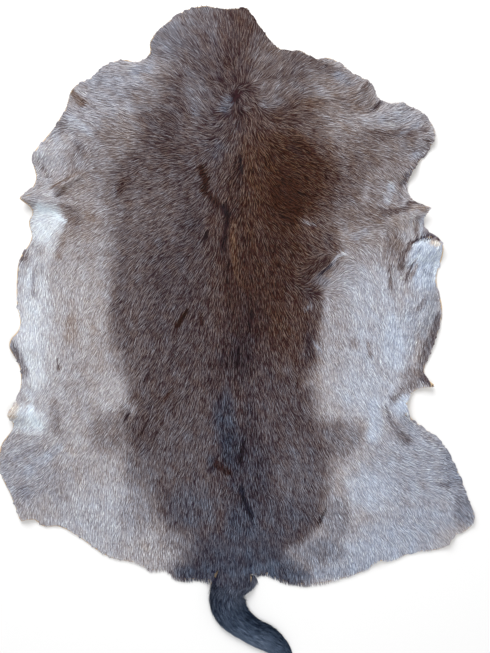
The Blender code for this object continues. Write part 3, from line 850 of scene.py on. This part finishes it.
HAIRS_PER_SQUARE_METRE = 355000
HAIR_WIDTH = 0.75 * MM
WIDTH_RANGE = (0.75, 1.25)     # the thinnest and the thickest, as a share of that
NECK_HAIR_LENGTH = 17 * MM
BACK_HAIR_LENGTH = 12.5 * MM
SIDE_HAIR_LENGTH = 9.5 * MM
LENGTH_SPREAD = 0.15
ROOT_INSET = 1.2 * MM          # the least way from a hair's root to the cut edge
ROOT_SUNK = 0.5 * MM           # how deep a root lies in the wool
OVERHANG = 0.8 * MM            # how far the hair reaches past the cut edge
OVERHANG_SPREAD = 0.9 * MM
OVERHANG_SIZE = 24 * MM        # the waves in which that changes along the edge
TIP_SPREAD = 0.5 * MM          # and how much it differs from one hair to the next
BARE_RIM = 1.9 * MM            # how much shorter it is where the cut edge shows, on the left
BARE_NECK_SHARE = 0.6          # how much of that shows along the neck
RUMP_FRINGE = 5 * MM           # how much further it hangs over on each side of the tail
TAIL_FRINGE = 14 * MM          # and over the tail's root
LEAST_SHARE = 0.2              # of its length that a hair at the edge keeps
LIFT = 2.2 * MM                # how high over the wool a hair's middle lies
LIFT_RANGE = (0.4, 1.1)
LEAST_LIFT = 0.2 * MM
TIP_LIFT_RANGE = (0.5, 1.1)    # how high its tip lies, as a share of its middle
LEAST_HEIGHT = 0.4 * MM        # from the floor up to what a hair lies on
DROOP = 0.3                    # how steeply the hair falls away outside the edge
HEADING_SPREAD = 0.07          # radians
BEND_SPREAD = 0.08
ROLL_SPREAD = 0.3
STREAK_STEP = 0.6 * MM
STREAK_REACH = 6               # steps each way along the hair that a streak is smeared
STREAK_FINE = 1                # rounds of blur that set how fine a streak may be
STREAK_BROAD = 3               # and how broad
STREAK_LIMIT = 2
STREAK_TONE = 0.145            # on black hair, and
STREAK_TONE_FALL = 0.075       # how much less on white hair
BLACK_HAIR = 0.33              # hair that is darker than this has stronger streaks still
STREAK_WARMTH = 0.10
STREAK_RISE = 0.6 * MM
RUMP_STREAKS = 0.45            # how much of the streaks shows on the rump's close hair
NECK_STREAKS = 0.80            # and on the neck's
TUFT_SIZE = 26 * MM
TUFT_TONE = 0.020
TUFT_WARMTH = 0.07
HAIR_TONE = 0.055              # how much one hair differs from those beside it
HAIR_WARMTH = 0.05
TONE_RANGE = (0.15, 0.85)      # where along a hair the coat's colour is read for it
TONE_ROOM = 0.02               # how far under black a hair's lightness may go
ROOT_DARKER = 0.14
TIP_PALER = 0.05
WHORL = (0.000, 0.438)
WHORL_REACH = 0.055

# Where the coat changes, in metres: where that starts, and over how far it fades in. The second
# is negative where the change comes before the start, as in past().
LONG_HAIR = (0.33, 0.12)       # along the hide: the hair gets longer towards the neck
FAN = (0.405, 0.05)            # along: it fans out forwards from the whorl
NECK = (0.38, 0.08)            # along: the neck's streaks begin
RUMP_ALONG = (-0.33, -0.06)    # along, and
RUMP_ACROSS = (0.12, -0.05)    # out from the spine: the rump's close hair
FRINGE_ALONG = (-0.41, -0.02)  # along, and
FRINGE_ACROSS = (0.20, -0.05)  # out from the spine: the fringe by the tail
TAIL_ROOT_CENTRE = -0.005
TAIL_ROOT_ACROSS = (0.045, -0.02)  # out from there: the tail's root
BARE_ALONG = (-0.42, 0.03)     # along, and
BARE_ACROSS = (-0.02, -0.06)   # across: the left side, where the cut edge shows
BARE_NECK = (0.42, 0.05)       # along: it shows at the neck too
DARK_HAIR = (0.62, -0.22)      # lightnesses: the dark back's hair is longer than the sides'

# How the hair strays from the comb's way, all over and by the whorl. Columns: by how much, in
# radians, in waves of about what size, and the seed of those waves.
STRAY = ((0.14, 60 * MM, 5), (0.10, 20 * MM, 6))
TOUSLED = ((0.6, 45 * MM, 8), (0.5, 16 * MM, 9))

# The hair runs back from the whorl and splays out from the spine. Columns: how far along in mm,
# then how far it splays on the left and on the right, in degrees from straight back.
SPLAY = (
    (-440, 0, 8), (-350, 3, 15), (-260, 7, 22), (-190, 24, 25), (-140, 28, 23), (-60, 24, 20),
    (0, 25, 16), (60, 30, 20), (150, 50, 35), (220, 60, 60), (290, 70, 60), (346, 90, 70),
    (400, 110, 75),
)
SPLAY_REACH = 100              # mm from the spine to where it splays in full

# Where it lies another way. Columns: the patch as on the coat, then the way that the hair
# points there, in degrees from straight right, turning left.
COMB = {
    "left nape": (-68, 430, 45, 70, 0, 1.4, 138),
    "left withers": (-120, 385, 70, 26, 0, 1.4, 155),
    "left collar": (-340, 435, 80, 40, 0, 1.2, 150),
    "left foreleg": (-350, 326, 90, 48, 0, 1.0, 238),
    "left elbow": (-350, 266, 70, 24, 0, 1.4, 212),
    "over the left armpit": (-375, 225, 70, 24, 0, 1.4, 185),
    "left armpit": (-360, 175, 60, 30, 0, 1.4, 230),
    "left belly": (-385, 30, 100, 120, 0, 1.0, 268),
    "left thigh": (-290, -140, 70, 70, 0, 1.2, 237),
    "left hind leg": (-415, -240, 80, 75, 0, 1.2, 214),
    "left of the whorl": (-28, 430, 26, 22, 0, 1.4, 130),
    "left side of the spine": (-12, 290, 22, 85, 0, 1.4, 244),
    "right of the whorl": (22, 424, 22, 20, 0, 1.4, -50),
    "right nape": (80, 450, 40, 45, 0, 1.4, 45),
    "right collar": (300, 445, 95, 42, 0, 1.2, 54),
    "right shoulder": (350, 392, 90, 22, 0, 1.4, 20),
    "right foreleg": (360, 342, 80, 22, 0, 1.4, -15),
    "right upper foreleg": (360, 292, 70, 36, 0, 1.2, -68),
    "right elbow": (365, 226, 70, 22, 0, 1.4, -10),
    "right chest": (225, 186, 50, 30, 0, 1.4, -8),
    "right ribs": (160, 110, 50, 40, 0, 1.2, 45),
    "flap": (355, 145, 90, 60, 0, 1.0, -116),
    "right belly": (365, 30, 90, 90, 0, 1.2, -100),
    "right thigh": (245, -235, 60, 110, 0, 1.4, -54),
    "right hind leg": (390, -235, 100, 80, 0, 1.2, -12),
    "right buttock": (360, -365, 80, 40, 0, 1.4, -50),
}


def past(places, start, blend):
    """How far places are past a start, from 0 to 1, eased over a blend. With a negative blend it
    is how far they are before it."""
    return ease((places - start) / blend)


def comb_heading(x, y):
    """The way the hair points at places on the hide, as the two parts of a unit vector."""
    levels, left, right = np.array(SPLAY, float).T
    splay = np.where(x < 0, -np.interp(y / MM, levels, left), np.interp(y / MM, levels, right))
    splay = np.radians(splay * ease(np.abs(x) / MM / SPLAY_REACH))
    fan_x, fan_y = x - WHORL[0], y - WHORL[1]
    far = np.maximum(np.hypot(fan_x, fan_y), SAME_PLACE)
    neck = past(y, *FAN)
    dx = np.sin(splay) + (fan_x / far - np.sin(splay)) * neck
    dy = -np.cos(splay) + (fan_y / far + np.cos(splay)) * neck
    for *form, way in COMB.values():
        share = patch_share(x / MM, y / MM, *form)
        dx = dx + (cos(radians(way)) - dx) * share
        dy = dy + (sin(radians(way)) - dy) * share
    size = np.maximum(np.hypot(dx, dy), SAME_PLACE)
    return dx / size, dy / size


def turned(dx, dy, angle):
    """The directions turned to the left by an angle each."""
    return dx * np.cos(angle) - dy * np.sin(angle), dx * np.sin(angle) + dy * np.cos(angle)


def hair_heading(x, y):
    """The way the hair points where it strays a little from the comb's way."""
    stray, tousled = (
        sum(most * sway(x, y, size, seed) for most, size, seed in waves)
        for waves in (STRAY, TOUSLED)
    )
    by_whorl = np.exp(-((x - WHORL[0]) ** 2 + (y - WHORL[1]) ** 2) / WHORL_REACH ** 2)
    return turned(*comb_heading(x, y), stray + by_whorl * tousled)


def hair_length(x, y):
    """The hair is longest on the neck and shortest on the belly and the legs."""
    light, _ = coat_tone(x, y)
    length = SIDE_HAIR_LENGTH + (BACK_HAIR_LENGTH - SIDE_HAIR_LENGTH) * past(light, *DARK_HAIR)
    return length + (NECK_HAIR_LENGTH - length) * past(y, *LONG_HAIR)


def hair_overhang(x, y):
    """How far the hair reaches past the cut edge at places near it."""
    fringe = past(np.abs(x), *FRINGE_ACROSS) * past(y, *FRINGE_ALONG)
    over_tail = past(np.abs(x - TAIL_ROOT_CENTRE), *TAIL_ROOT_ACROSS) * past(y, *FRINGE_ALONG)
    bare = past(x, *BARE_ACROSS) * past(y, *BARE_ALONG) + BARE_NECK_SHARE * past(y, *BARE_NECK)
    even = OVERHANG - BARE_RIM * np.minimum(bare, 1)
    uneven = OVERHANG_SPREAD * sway(x, y, OVERHANG_SIZE, 10)
    return even + uneven + RUMP_FRINGE * fringe + TAIL_FRINGE * over_tail


def part_streaks(seed):
    """A chart of the fine streaks: chance values, smeared along the hair's lie."""
    grid_x, grid_y = grid(STREAK_STEP)
    dx, dy = hair_heading(grid_x, grid_y)
    rows, columns = grid_x.shape
    speckle = blurred(np.random.default_rng(seed).normal(size=grid_x.shape), STREAK_FINE)
    streaks = np.zeros_like(speckle)
    for way in (1, -1):
        along, across = np.mgrid[0:rows, 0:columns].astype(float)
        for _ in range(STREAK_REACH):
            i = np.clip(np.rint(along), 0, rows - 1).astype(int)
            j = np.clip(np.rint(across), 0, columns - 1).astype(int)
            streaks += speckle[i, j]
            along += way * dy[i, j]
            across += way * dx[i, j]
    streaks -= blurred(streaks, STREAK_BROAD)
    return Chart(STREAK_STEP, streaks / streaks.std())


def coat_base(x, y):
    """The height that hairs lie on: the wool, which falls away outside the cut edge."""
    outside = np.maximum(-edge_depth.at(x, y), 0)
    return np.maximum(wool_high(x, y) - DROOP * outside, LEAST_HEIGHT)


# A hair's colour is read from its UV map: lightness across it, and warmth up it. Its two sides
# are a sliver apart there, so that its faces have an area on the map.
PALETTE_RANGE = (0.02, 0.98)
PALETTE_SLIVER = 0.004


def blades(name, rows, tones, warmths):
    """Joins hairs into one mesh. rows holds each hair's left and right root, right and left
    middle, and tip; tones its lightness at root, middle and tip."""
    count = len(rows)
    mesh = bpy.data.meshes.new(name)
    mesh.vertices.add(count * 5)
    mesh.vertices.foreach_set("co", rows.astype(np.float32).ravel())
    corners = np.array([1, 2, 3, 1, 3, 0, 2, 4, 3])
    index = (np.arange(count)[:, None] * 5 + corners).ravel()
    mesh.loops.add(len(index))
    mesh.loops.foreach_set("vertex_index", index.astype(np.int32))
    mesh.polygons.add(count * 3)
    mesh.polygons.foreach_set("loop_start", np.arange(0, len(index), 3, dtype=np.int32))
    mesh.update(calc_edges=True)
    mesh.shade_smooth()
    across = np.clip(tones[:, [0, 0, 1, 1, 2]], *PALETTE_RANGE)
    sides = PALETTE_SLIVER * np.array([1, -1, -1, 1, 0])
    up = np.clip(brown_share(warmths[:, None]), *PALETTE_RANGE) + sides
    palette = np.stack([across, up], 2).reshape(-1, 2)[index]
    layer = mesh.uv_layers.new(name="OFBake")
    layer.data.foreach_set("uv", palette.astype(np.float32).ravel())
    return add_object(name, mesh)


def grow_coat(name, low_y, high_y, seed):
    """Hairs over the part of the hide between two levels."""
    chance = np.random.default_rng(seed)
    width = cad_high.x - cad_low.x
    count = int(width * (high_y - low_y) * HAIRS_PER_SQUARE_METRE)
    x = chance.uniform(cad_low.x, cad_high.x, count)
    y = chance.uniform(low_y, high_y, count)
    kept = edge_depth.at(x, y) > ROOT_INSET
    x, y = x[kept], y[kept]
    count = len(x)
    depth = edge_depth.at(x, y)
    dx, dy = turned(*hair_heading(x, y), chance.normal(0, HEADING_SPREAD, count))
    length = hair_length(x, y) * chance.normal(1, LENGTH_SPREAD, count)
    overhang = hair_overhang(x, y) + chance.normal(0, TIP_SPREAD, count)
    outside = -edge_depth.at(x + dx * length, y + dy * length)
    fits = (depth + overhang) / np.maximum(depth + outside, 1 * MM)
    length = length * np.clip(np.where(outside > overhang, fits, 1), LEAST_SHARE, 1)
    end_x, end_y = turned(dx, dy, chance.normal(0, BEND_SPREAD, count))
    middle_x = x + dx * length * 0.5
    middle_y = y + dy * length * 0.5
    tip_x = middle_x + end_x * length * 0.5
    tip_y = middle_y + end_y * length * 0.5
    rump = past(np.abs(x), *RUMP_ACROSS) * past(y, *RUMP_ALONG)
    neck = past(y, *NECK)
    calm = (1 - (1 - RUMP_STREAKS) * rump) * (1 - (1 - NECK_STREAKS) * neck)
    streak = np.clip(streaks.at(middle_x, middle_y), -STREAK_LIMIT, STREAK_LIMIT) * calm
    lift = LIFT * chance.uniform(*LIFT_RANGE, count) + STREAK_RISE * streak
    tip_lift = lift * chance.uniform(*TIP_LIFT_RANGE, count)
    root_z = coat_base(x, y) - ROOT_SUNK
    middle_z = coat_base(middle_x, middle_y) + np.maximum(lift, LEAST_LIFT)
    tip_z = coat_base(tip_x, tip_y) + np.maximum(tip_lift, 0)
    half = HAIR_WIDTH / 2 * chance.uniform(*WIDTH_RANGE, count)
    slope = coat_base(x - dy * MM, y + dx * MM) - coat_base(x + dy * MM, y - dx * MM)
    rise = slope / (2 * MM) + np.tan(chance.normal(0, ROLL_SPREAD, count))
    scale = half / np.sqrt(1 + rise ** 2)
    side = np.stack([-dy * scale, dx * scale, rise * scale], 1)
    root = np.stack([x, y, root_z], 1)
    middle = np.stack([middle_x, middle_y, middle_z], 1)
    tip = np.stack([tip_x, tip_y, tip_z], 1)
    rows = np.stack([root + side, root - side, middle - side, middle + side, tip], 1)
    seen_at = length * chance.uniform(*TONE_RANGE, count)
    light, warm = coat_tone(x + dx * seen_at, y + dy * seen_at)
    tuft = sway(x, y, TUFT_SIZE, 7)
    strength = STREAK_TONE - STREAK_TONE_FALL * light
    strength = strength * (1 + np.maximum(1 - light / BLACK_HAIR, 0))
    spread = strength * streak + TUFT_TONE * tuft + chance.normal(0, HAIR_TONE, count)
    room = light + TONE_ROOM
    light = light + room * np.tanh(spread / room)
    warm = warm - STREAK_WARMTH * streak - TUFT_WARMTH * tuft
    tones = np.stack([light - ROOT_DARKER, light, light + TIP_PALER], 1)
    piece = blades(name, rows, tones, warm + chance.normal(0, HAIR_WARMTH, count))
    piece.data.materials.append(guard_hair.material)
    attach(piece, "root")
    return piece


streaks = part_streaks(3)

guard_hair = Finish("guard_hair", Roughness=0.5, Specular_IOR_Level=0.12)
chart = guard_hair.node("ShaderNodeUVMap", {"uv_map": "OFBake"}, {})
split = guard_hair.node("ShaderNodeSeparateXYZ", {}, {0: chart})
guard_hair.shade(
    Base_Color=hair_colour(guard_hair, split, Wire(guard_hair, split.socket.node.outputs[1]))
)

COAT_PARTS = {
    "coat_neck": (0.355, 0.610),
    "coat_chest": (0.180, 0.355),
    "coat_ribs": (0.005, 0.180),
    "coat_loin": (-0.165, 0.005),
    "coat_thighs": (-0.310, -0.165),
    "coat_rump": (-0.470, -0.310),
}
coats = [
    grow_coat(name, low_y, high_y, seed)
    for seed, (name, (low_y, high_y)) in enumerate(COAT_PARTS.items(), 11)
]

# The tail's core: the skin of the dock, dried round, with short dark hair on it. It grows out
# of the rump and lies on the floor in a bend to the right. It is one closed tube.

# Columns, in mm: across, along, half width.
TAIL = (
    (6, -385, 10), (-3, -434, 32), (-12, -468, 37), (-17, -496, 34), (-9, -517, 31),
    (11, -537, 26), (31, -551, 24), (54, -562, 24), (72, -575, 20), (88, -589, 14),
    (99, -600, 6),
)
TAIL_FLATNESS = 0.42
TAIL_CENTRE = 0.25             # how high its middle lies, as a share of its half width
TAIL_SAMPLE = 0.01             # of its length, each way, over which its direction is taken
TAIL_LEAST_HEIGHT = 0.3 * MM

# The tail's root is wider on its right side than the rows above, and narrower on its left side:
# by how much, up to where along the tail, and over what share of it that fades.
TAIL_WEB = (12 * MM, 0.33, 0.1)
TAIL_NOTCH = (13 * MM, 0.34, -0.12)
TAIL_NICK = (10 * MM, 0.348, 0.025)  # on the right, past the web: how deep, where, how wide

CORE_RINGS = 44
CORE_SIDES = 20
CORE_SHARE = 0.80              # of the tail's half width, the rest is hair
CORE_START = 0.21              # of its length, where it comes out from under the rump's hair
CORE_RISE = (0.03, 0.16)       # how far before that it leaves the floor, and over what share

tail_rows = np.array(TAIL, float) * MM
tail_run = np.concatenate([[0], np.cumsum(np.hypot(*np.diff(tail_rows[:, :2], axis=0).T))])
tail_length = tail_run[-1]


def smooth_run(values, share):
    """A curve through the tail's rows, at shares of its length, carried on past its end."""
    knots = tail_run / tail_length
    share = np.asarray(share, float)
    slopes = np.gradient(values, knots)
    i = np.clip(np.searchsorted(knots, share) - 1, 0, len(knots) - 2)
    width = knots[i + 1] - knots[i]
    t = (share - knots[i]) / width
    t = np.clip(t, 0, 1)
    curve = (
        (2 * t ** 3 - 3 * t ** 2 + 1) * values[i]
        + (t ** 3 - 2 * t ** 2 + t) * width * slopes[i]
        + (3 * t ** 2 - 2 * t ** 3) * values[i + 1]
        + (t ** 3 - t ** 2) * width * slopes[i + 1]
    )
    return curve + np.maximum(share - 1, 0) * slopes[-1]


def on_tail(share, angle, girth):
    """Places round the tail: angle 0 is the side to the left seen from above, a quarter turn
    its top, and a half turn the side to the right."""
    across, along, half_widths = tail_rows.T
    x, y = smooth_run(across, share), smooth_run(along, share)
    ahead, behind = share + TAIL_SAMPLE, share - TAIL_SAMPLE
    dx = smooth_run(across, ahead) - smooth_run(across, behind)
    dy = smooth_run(along, ahead) - smooth_run(along, behind)
    size = np.hypot(dx, dy)
    dx, dy = dx / size, dy / size
    half = np.maximum(smooth_run(half_widths, np.minimum(share, 1)), 0) * girth
    wider, web_end, web_run = TAIL_WEB
    narrower, *notch_end = TAIL_NOTCH
    nicked, nick_at, nick_width = TAIL_NICK
    web = wider * np.clip((web_end - share) / web_run, 0, 1)
    web = web - nicked * np.exp(-((share - nick_at) / nick_width) ** 2)
    web = web * np.maximum(-np.cos(angle), 0)
    notch = narrower * past(share, *notch_end) * np.maximum(np.cos(angle), 0)
    beside = half * np.cos(angle) - web - notch
    z = half * TAIL_CENTRE / girth + half * TAIL_FLATNESS * np.sin(angle)
    before, rise_run = CORE_RISE
    z = z * ease((share - CORE_START + before) / rise_run)
    return np.stack([x + dy * beside, y - dx * beside, np.maximum(z, TAIL_LEAST_HEIGHT)], -1)


core = bmesh.new()
ring = bmesh.ops.create_circle(core, segments=CORE_SIDES, radius=1)["verts"]
angles = np.arange(CORE_SIDES) * 2 * pi / CORE_SIDES
rings = [ring]
edges = core.edges[:]
for _ in range(CORE_RINGS):
    grown = bmesh.ops.extrude_edge_only(core, edges=edges)["geom"]
    edges = [part for part in grown if isinstance(part, bmesh.types.BMEdge)]
    edges = [edge for edge in edges if edge.is_boundary and not set(edge.verts) & set(rings[-1])]
    last = {vert for edge in edges for vert in edge.verts}
    rings.append([
        next(edge.other_vert(vert) for edge in vert.link_edges if edge.other_vert(vert) in last)
        for vert in rings[-1]
    ])
for number, ring in enumerate(rings):
    level = CORE_START + (1 - CORE_START) * number / CORE_RINGS
    places = on_tail(np.full(CORE_SIDES, level), angles, CORE_SHARE)
    for vert, place in zip(ring, places):
        vert.co = place
bmesh.ops.holes_fill(core, edges=core.edges, sides=0)
bmesh.ops.recalc_face_normals(core, faces=core.faces)
core_mesh = finished_mesh("tail_core", core)
core_mesh.shade_smooth()
tail_core = add_object("tail_core", core_mesh)

DOCK_TUFTS = (240, 3)
DOCK_TONE = (0.12, 0.2)        # the darkest, and how much the tufts add
DOCK_WARM_SHARE = 0.1

dock = Finish("dock", Roughness=0.8)
tufts = dock.noise(*DOCK_TUFTS)
dock.shade(
    Base_Color=hair_colour(dock, tufts * DOCK_TONE[1] + DOCK_TONE[0], DOCK_WARM_SHARE),
    Normal=dock.bump(strength=0.5, depth=1 * MM, height=tufts),
)
tail_core.data.materials.append(dock.material)
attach(tail_core, "root")

# The tail's hair: long slaty hairs that grow all round the dock, except under it, and lie back
# along it to its tip in loose locks. They are rooted in the core and are one mesh.

TAIL_HAIRS = 16000
TAIL_HAIR_LENGTH = 32 * MM
TAIL_HAIR_RUN = (0.20, 0.97)   # where along the tail the roots are
TAIL_HAIR_UNDER = 0.35         # how far round past its sides they go, in radians
TAIL_LENGTH_RANGE = (0.7, 1.1)
TAIL_TIP_SHORTER = 0.55        # by how much of its length a hair at the tip is shorter
TAIL_ROOT_LENGTH = (0.4, 0.24, 0.2)  # its share at the root, up to where, over how far it grows
TAIL_DRIFT = 0.12              # how far round the tail a hair strays, in radians
TAIL_RAISED = 0.04             # how much its distance from the tail's middle varies
TAIL_ROOT_SHARE = 0.97         # of the core's half width, where the hairs are rooted
TAIL_MIDDLE_OUT = 0.10         # of the tail's half width, how far their middles stand off it
TAIL_LEAN_SPREAD = 0.5         # how a hair is rolled, in radians: by chance, and
TAIL_LEAN_OUT = 0.8            # outwards at the sides
TAIL_WIDTH_RANGE = (0.7, 1.2)
LOCK_SIZE = 5 * MM
LOCK_STRETCH = 6               # how many times longer than wide a lock is
LOCK_ROUND = 30 * MM           # of lock pattern to a radian round the tail
LOCK_TONE = 0.05
TAIL_HAIR_TONE = 0.08
TAIL_HAIR_WARMTH = 0.06
TAIL_ROOT_DARKER = 0.12

# Columns: share of the tail's length, lightness, how much paler its left side is painted (painted
# light and shade across the tail; negative where its right side is paler), warmth.
TAIL_TONES = (
    (0.18, 0.33, -0.05, 0.10), (0.32, 0.31, -0.06, -0.08), (0.44, 0.29, 0.00, -0.22),
    (0.56, 0.31, 0.12, -0.30), (0.75, 0.345, 0.10, -0.30), (1.00, 0.27, 0.02, -0.30),
)

chance = np.random.default_rng(31)
share = chance.uniform(*TAIL_HAIR_RUN, TAIL_HAIRS)
angle = chance.uniform(-TAIL_HAIR_UNDER, pi + TAIL_HAIR_UNDER, TAIL_HAIRS)
reach = TAIL_HAIR_LENGTH / tail_length * chance.uniform(*TAIL_LENGTH_RANGE, TAIL_HAIRS)
at_root, *root_end = TAIL_ROOT_LENGTH
reach = reach * (1 - TAIL_TIP_SHORTER * share)
reach = reach * (at_root + (1 - at_root) * past(share, *root_end))
drift = chance.normal(0, TAIL_DRIFT, TAIL_HAIRS)
raised = chance.normal(1.0, TAIL_RAISED, TAIL_HAIRS)
root = on_tail(share, angle, CORE_SHARE * TAIL_ROOT_SHARE)
middle_girth = (CORE_SHARE + TAIL_MIDDLE_OUT) * raised
middle = on_tail(share + reach * 0.5, angle + drift * 0.5, middle_girth)
tip = on_tail(share + reach, angle + drift, raised)
along_hair = middle - root
up = np.stack([0 * angle, 0 * angle, 1 + 0 * angle], 1)
flat = np.cross(up, along_hair)
flat /= np.linalg.norm(flat, axis=1)[:, None]
lean = chance.normal(0, TAIL_LEAN_SPREAD, TAIL_HAIRS) - np.cos(angle) * TAIL_LEAN_OUT
side = flat * np.cos(lean)[:, None] + up * np.sin(lean)[:, None]
side = side * (HAIR_WIDTH / 2 * chance.uniform(*TAIL_WIDTH_RANGE, TAIL_HAIRS))[:, None]
rows = np.stack([root + side, root - side, middle - side, middle + side, tip], 1)
shares, lights, painted_side_light, warmths = np.array(TAIL_TONES).T
lock = sway(share * tail_length / LOCK_STRETCH, angle * LOCK_ROUND, LOCK_SIZE, 41)
# The tail's sides are painted paler or darker, as painted light and shade across it.
light = np.interp(share, shares, lights) + np.interp(share, shares, painted_side_light) * np.cos(angle)
light = light + LOCK_TONE * lock + chance.normal(0, TAIL_HAIR_TONE, TAIL_HAIRS)
warm = np.interp(share, shares, warmths) + chance.normal(0, TAIL_HAIR_WARMTH, TAIL_HAIRS)
tones = np.stack([light - TAIL_ROOT_DARKER, light, light + TIP_PALER], 1)
tail_hair = blades("tail_hair", rows, tones, warm)
tail_hair.data.materials.append(guard_hair.material)
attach(tail_hair, "root")

# The place it is seen in: a plain pale floor, soft light from the neck's side, and the camera
# straight above the hide.

FLOOR_SIZE = 9.0
FLOOR_GAP = 0.2 * MM           # from the hide down to the floor
FLOOR_GREY = 0.80
ROOM_LIGHT = 0.55
CAMERA_HEIGHT = 1.9
VIEW_CENTRE = (0.0148, 0.0120)
PHOTO_ROWS = 653
PIXEL = 1.85                   # mm of the hide that a pixel of the photograph shows
VIEW_LENGTH = PHOTO_ROWS * PIXEL * MM
SENSOR = 36.0

floor_form = bmesh.new()
bmesh.ops.create_grid(floor_form, x_segments=1, y_segments=1, size=FLOOR_SIZE / 2)
bmesh.ops.translate(floor_form, vec=(0, 0, -FLOOR_GAP), verts=floor_form.verts)
floor = add_object("floor", finished_mesh("floor", floor_form))
paint = Finish("floor_paint", Base_Color=(FLOOR_GREY, FLOOR_GREY, FLOOR_GREY, 1), Roughness=0.9)
floor.data.materials.append(paint.material)


def soft_light(name, place, size, power):
    """A square light that faces the middle of the hide."""
    lamp = bpy.data.lights.new(name, "AREA")
    lamp.size = size
    lamp.energy = power
    holder = add_object(name, lamp)
    holder.location = place
    holder.rotation_euler = (-Vector(place)).to_track_quat("-Z", "Y").to_euler()
    holder.visible_camera = False


soft_light("key", place=(-0.5, 1.9, 2.0), size=1.6, power=70)
soft_light("fill", place=(0.3, -0.8, 2.8), size=2.4, power=30)

world = bpy.data.worlds.new("room")
world.use_nodes = True
world.node_tree.nodes["Background"].inputs["Color"].default_value = (1, 1, 1, 1)
world.node_tree.nodes["Background"].inputs["Strength"].default_value = ROOM_LIGHT
bpy.context.scene.world = world
bpy.context.scene.view_settings.view_transform = "Standard"

lens = bpy.data.cameras.new("camera")
lens.sensor_width = SENSOR
lens.lens = SENSOR * CAMERA_HEIGHT / VIEW_LENGTH
camera = add_object("camera", lens)
camera.location = (*VIEW_CENTRE, CAMERA_HEIGHT)
bpy.context.scene.camera = camera
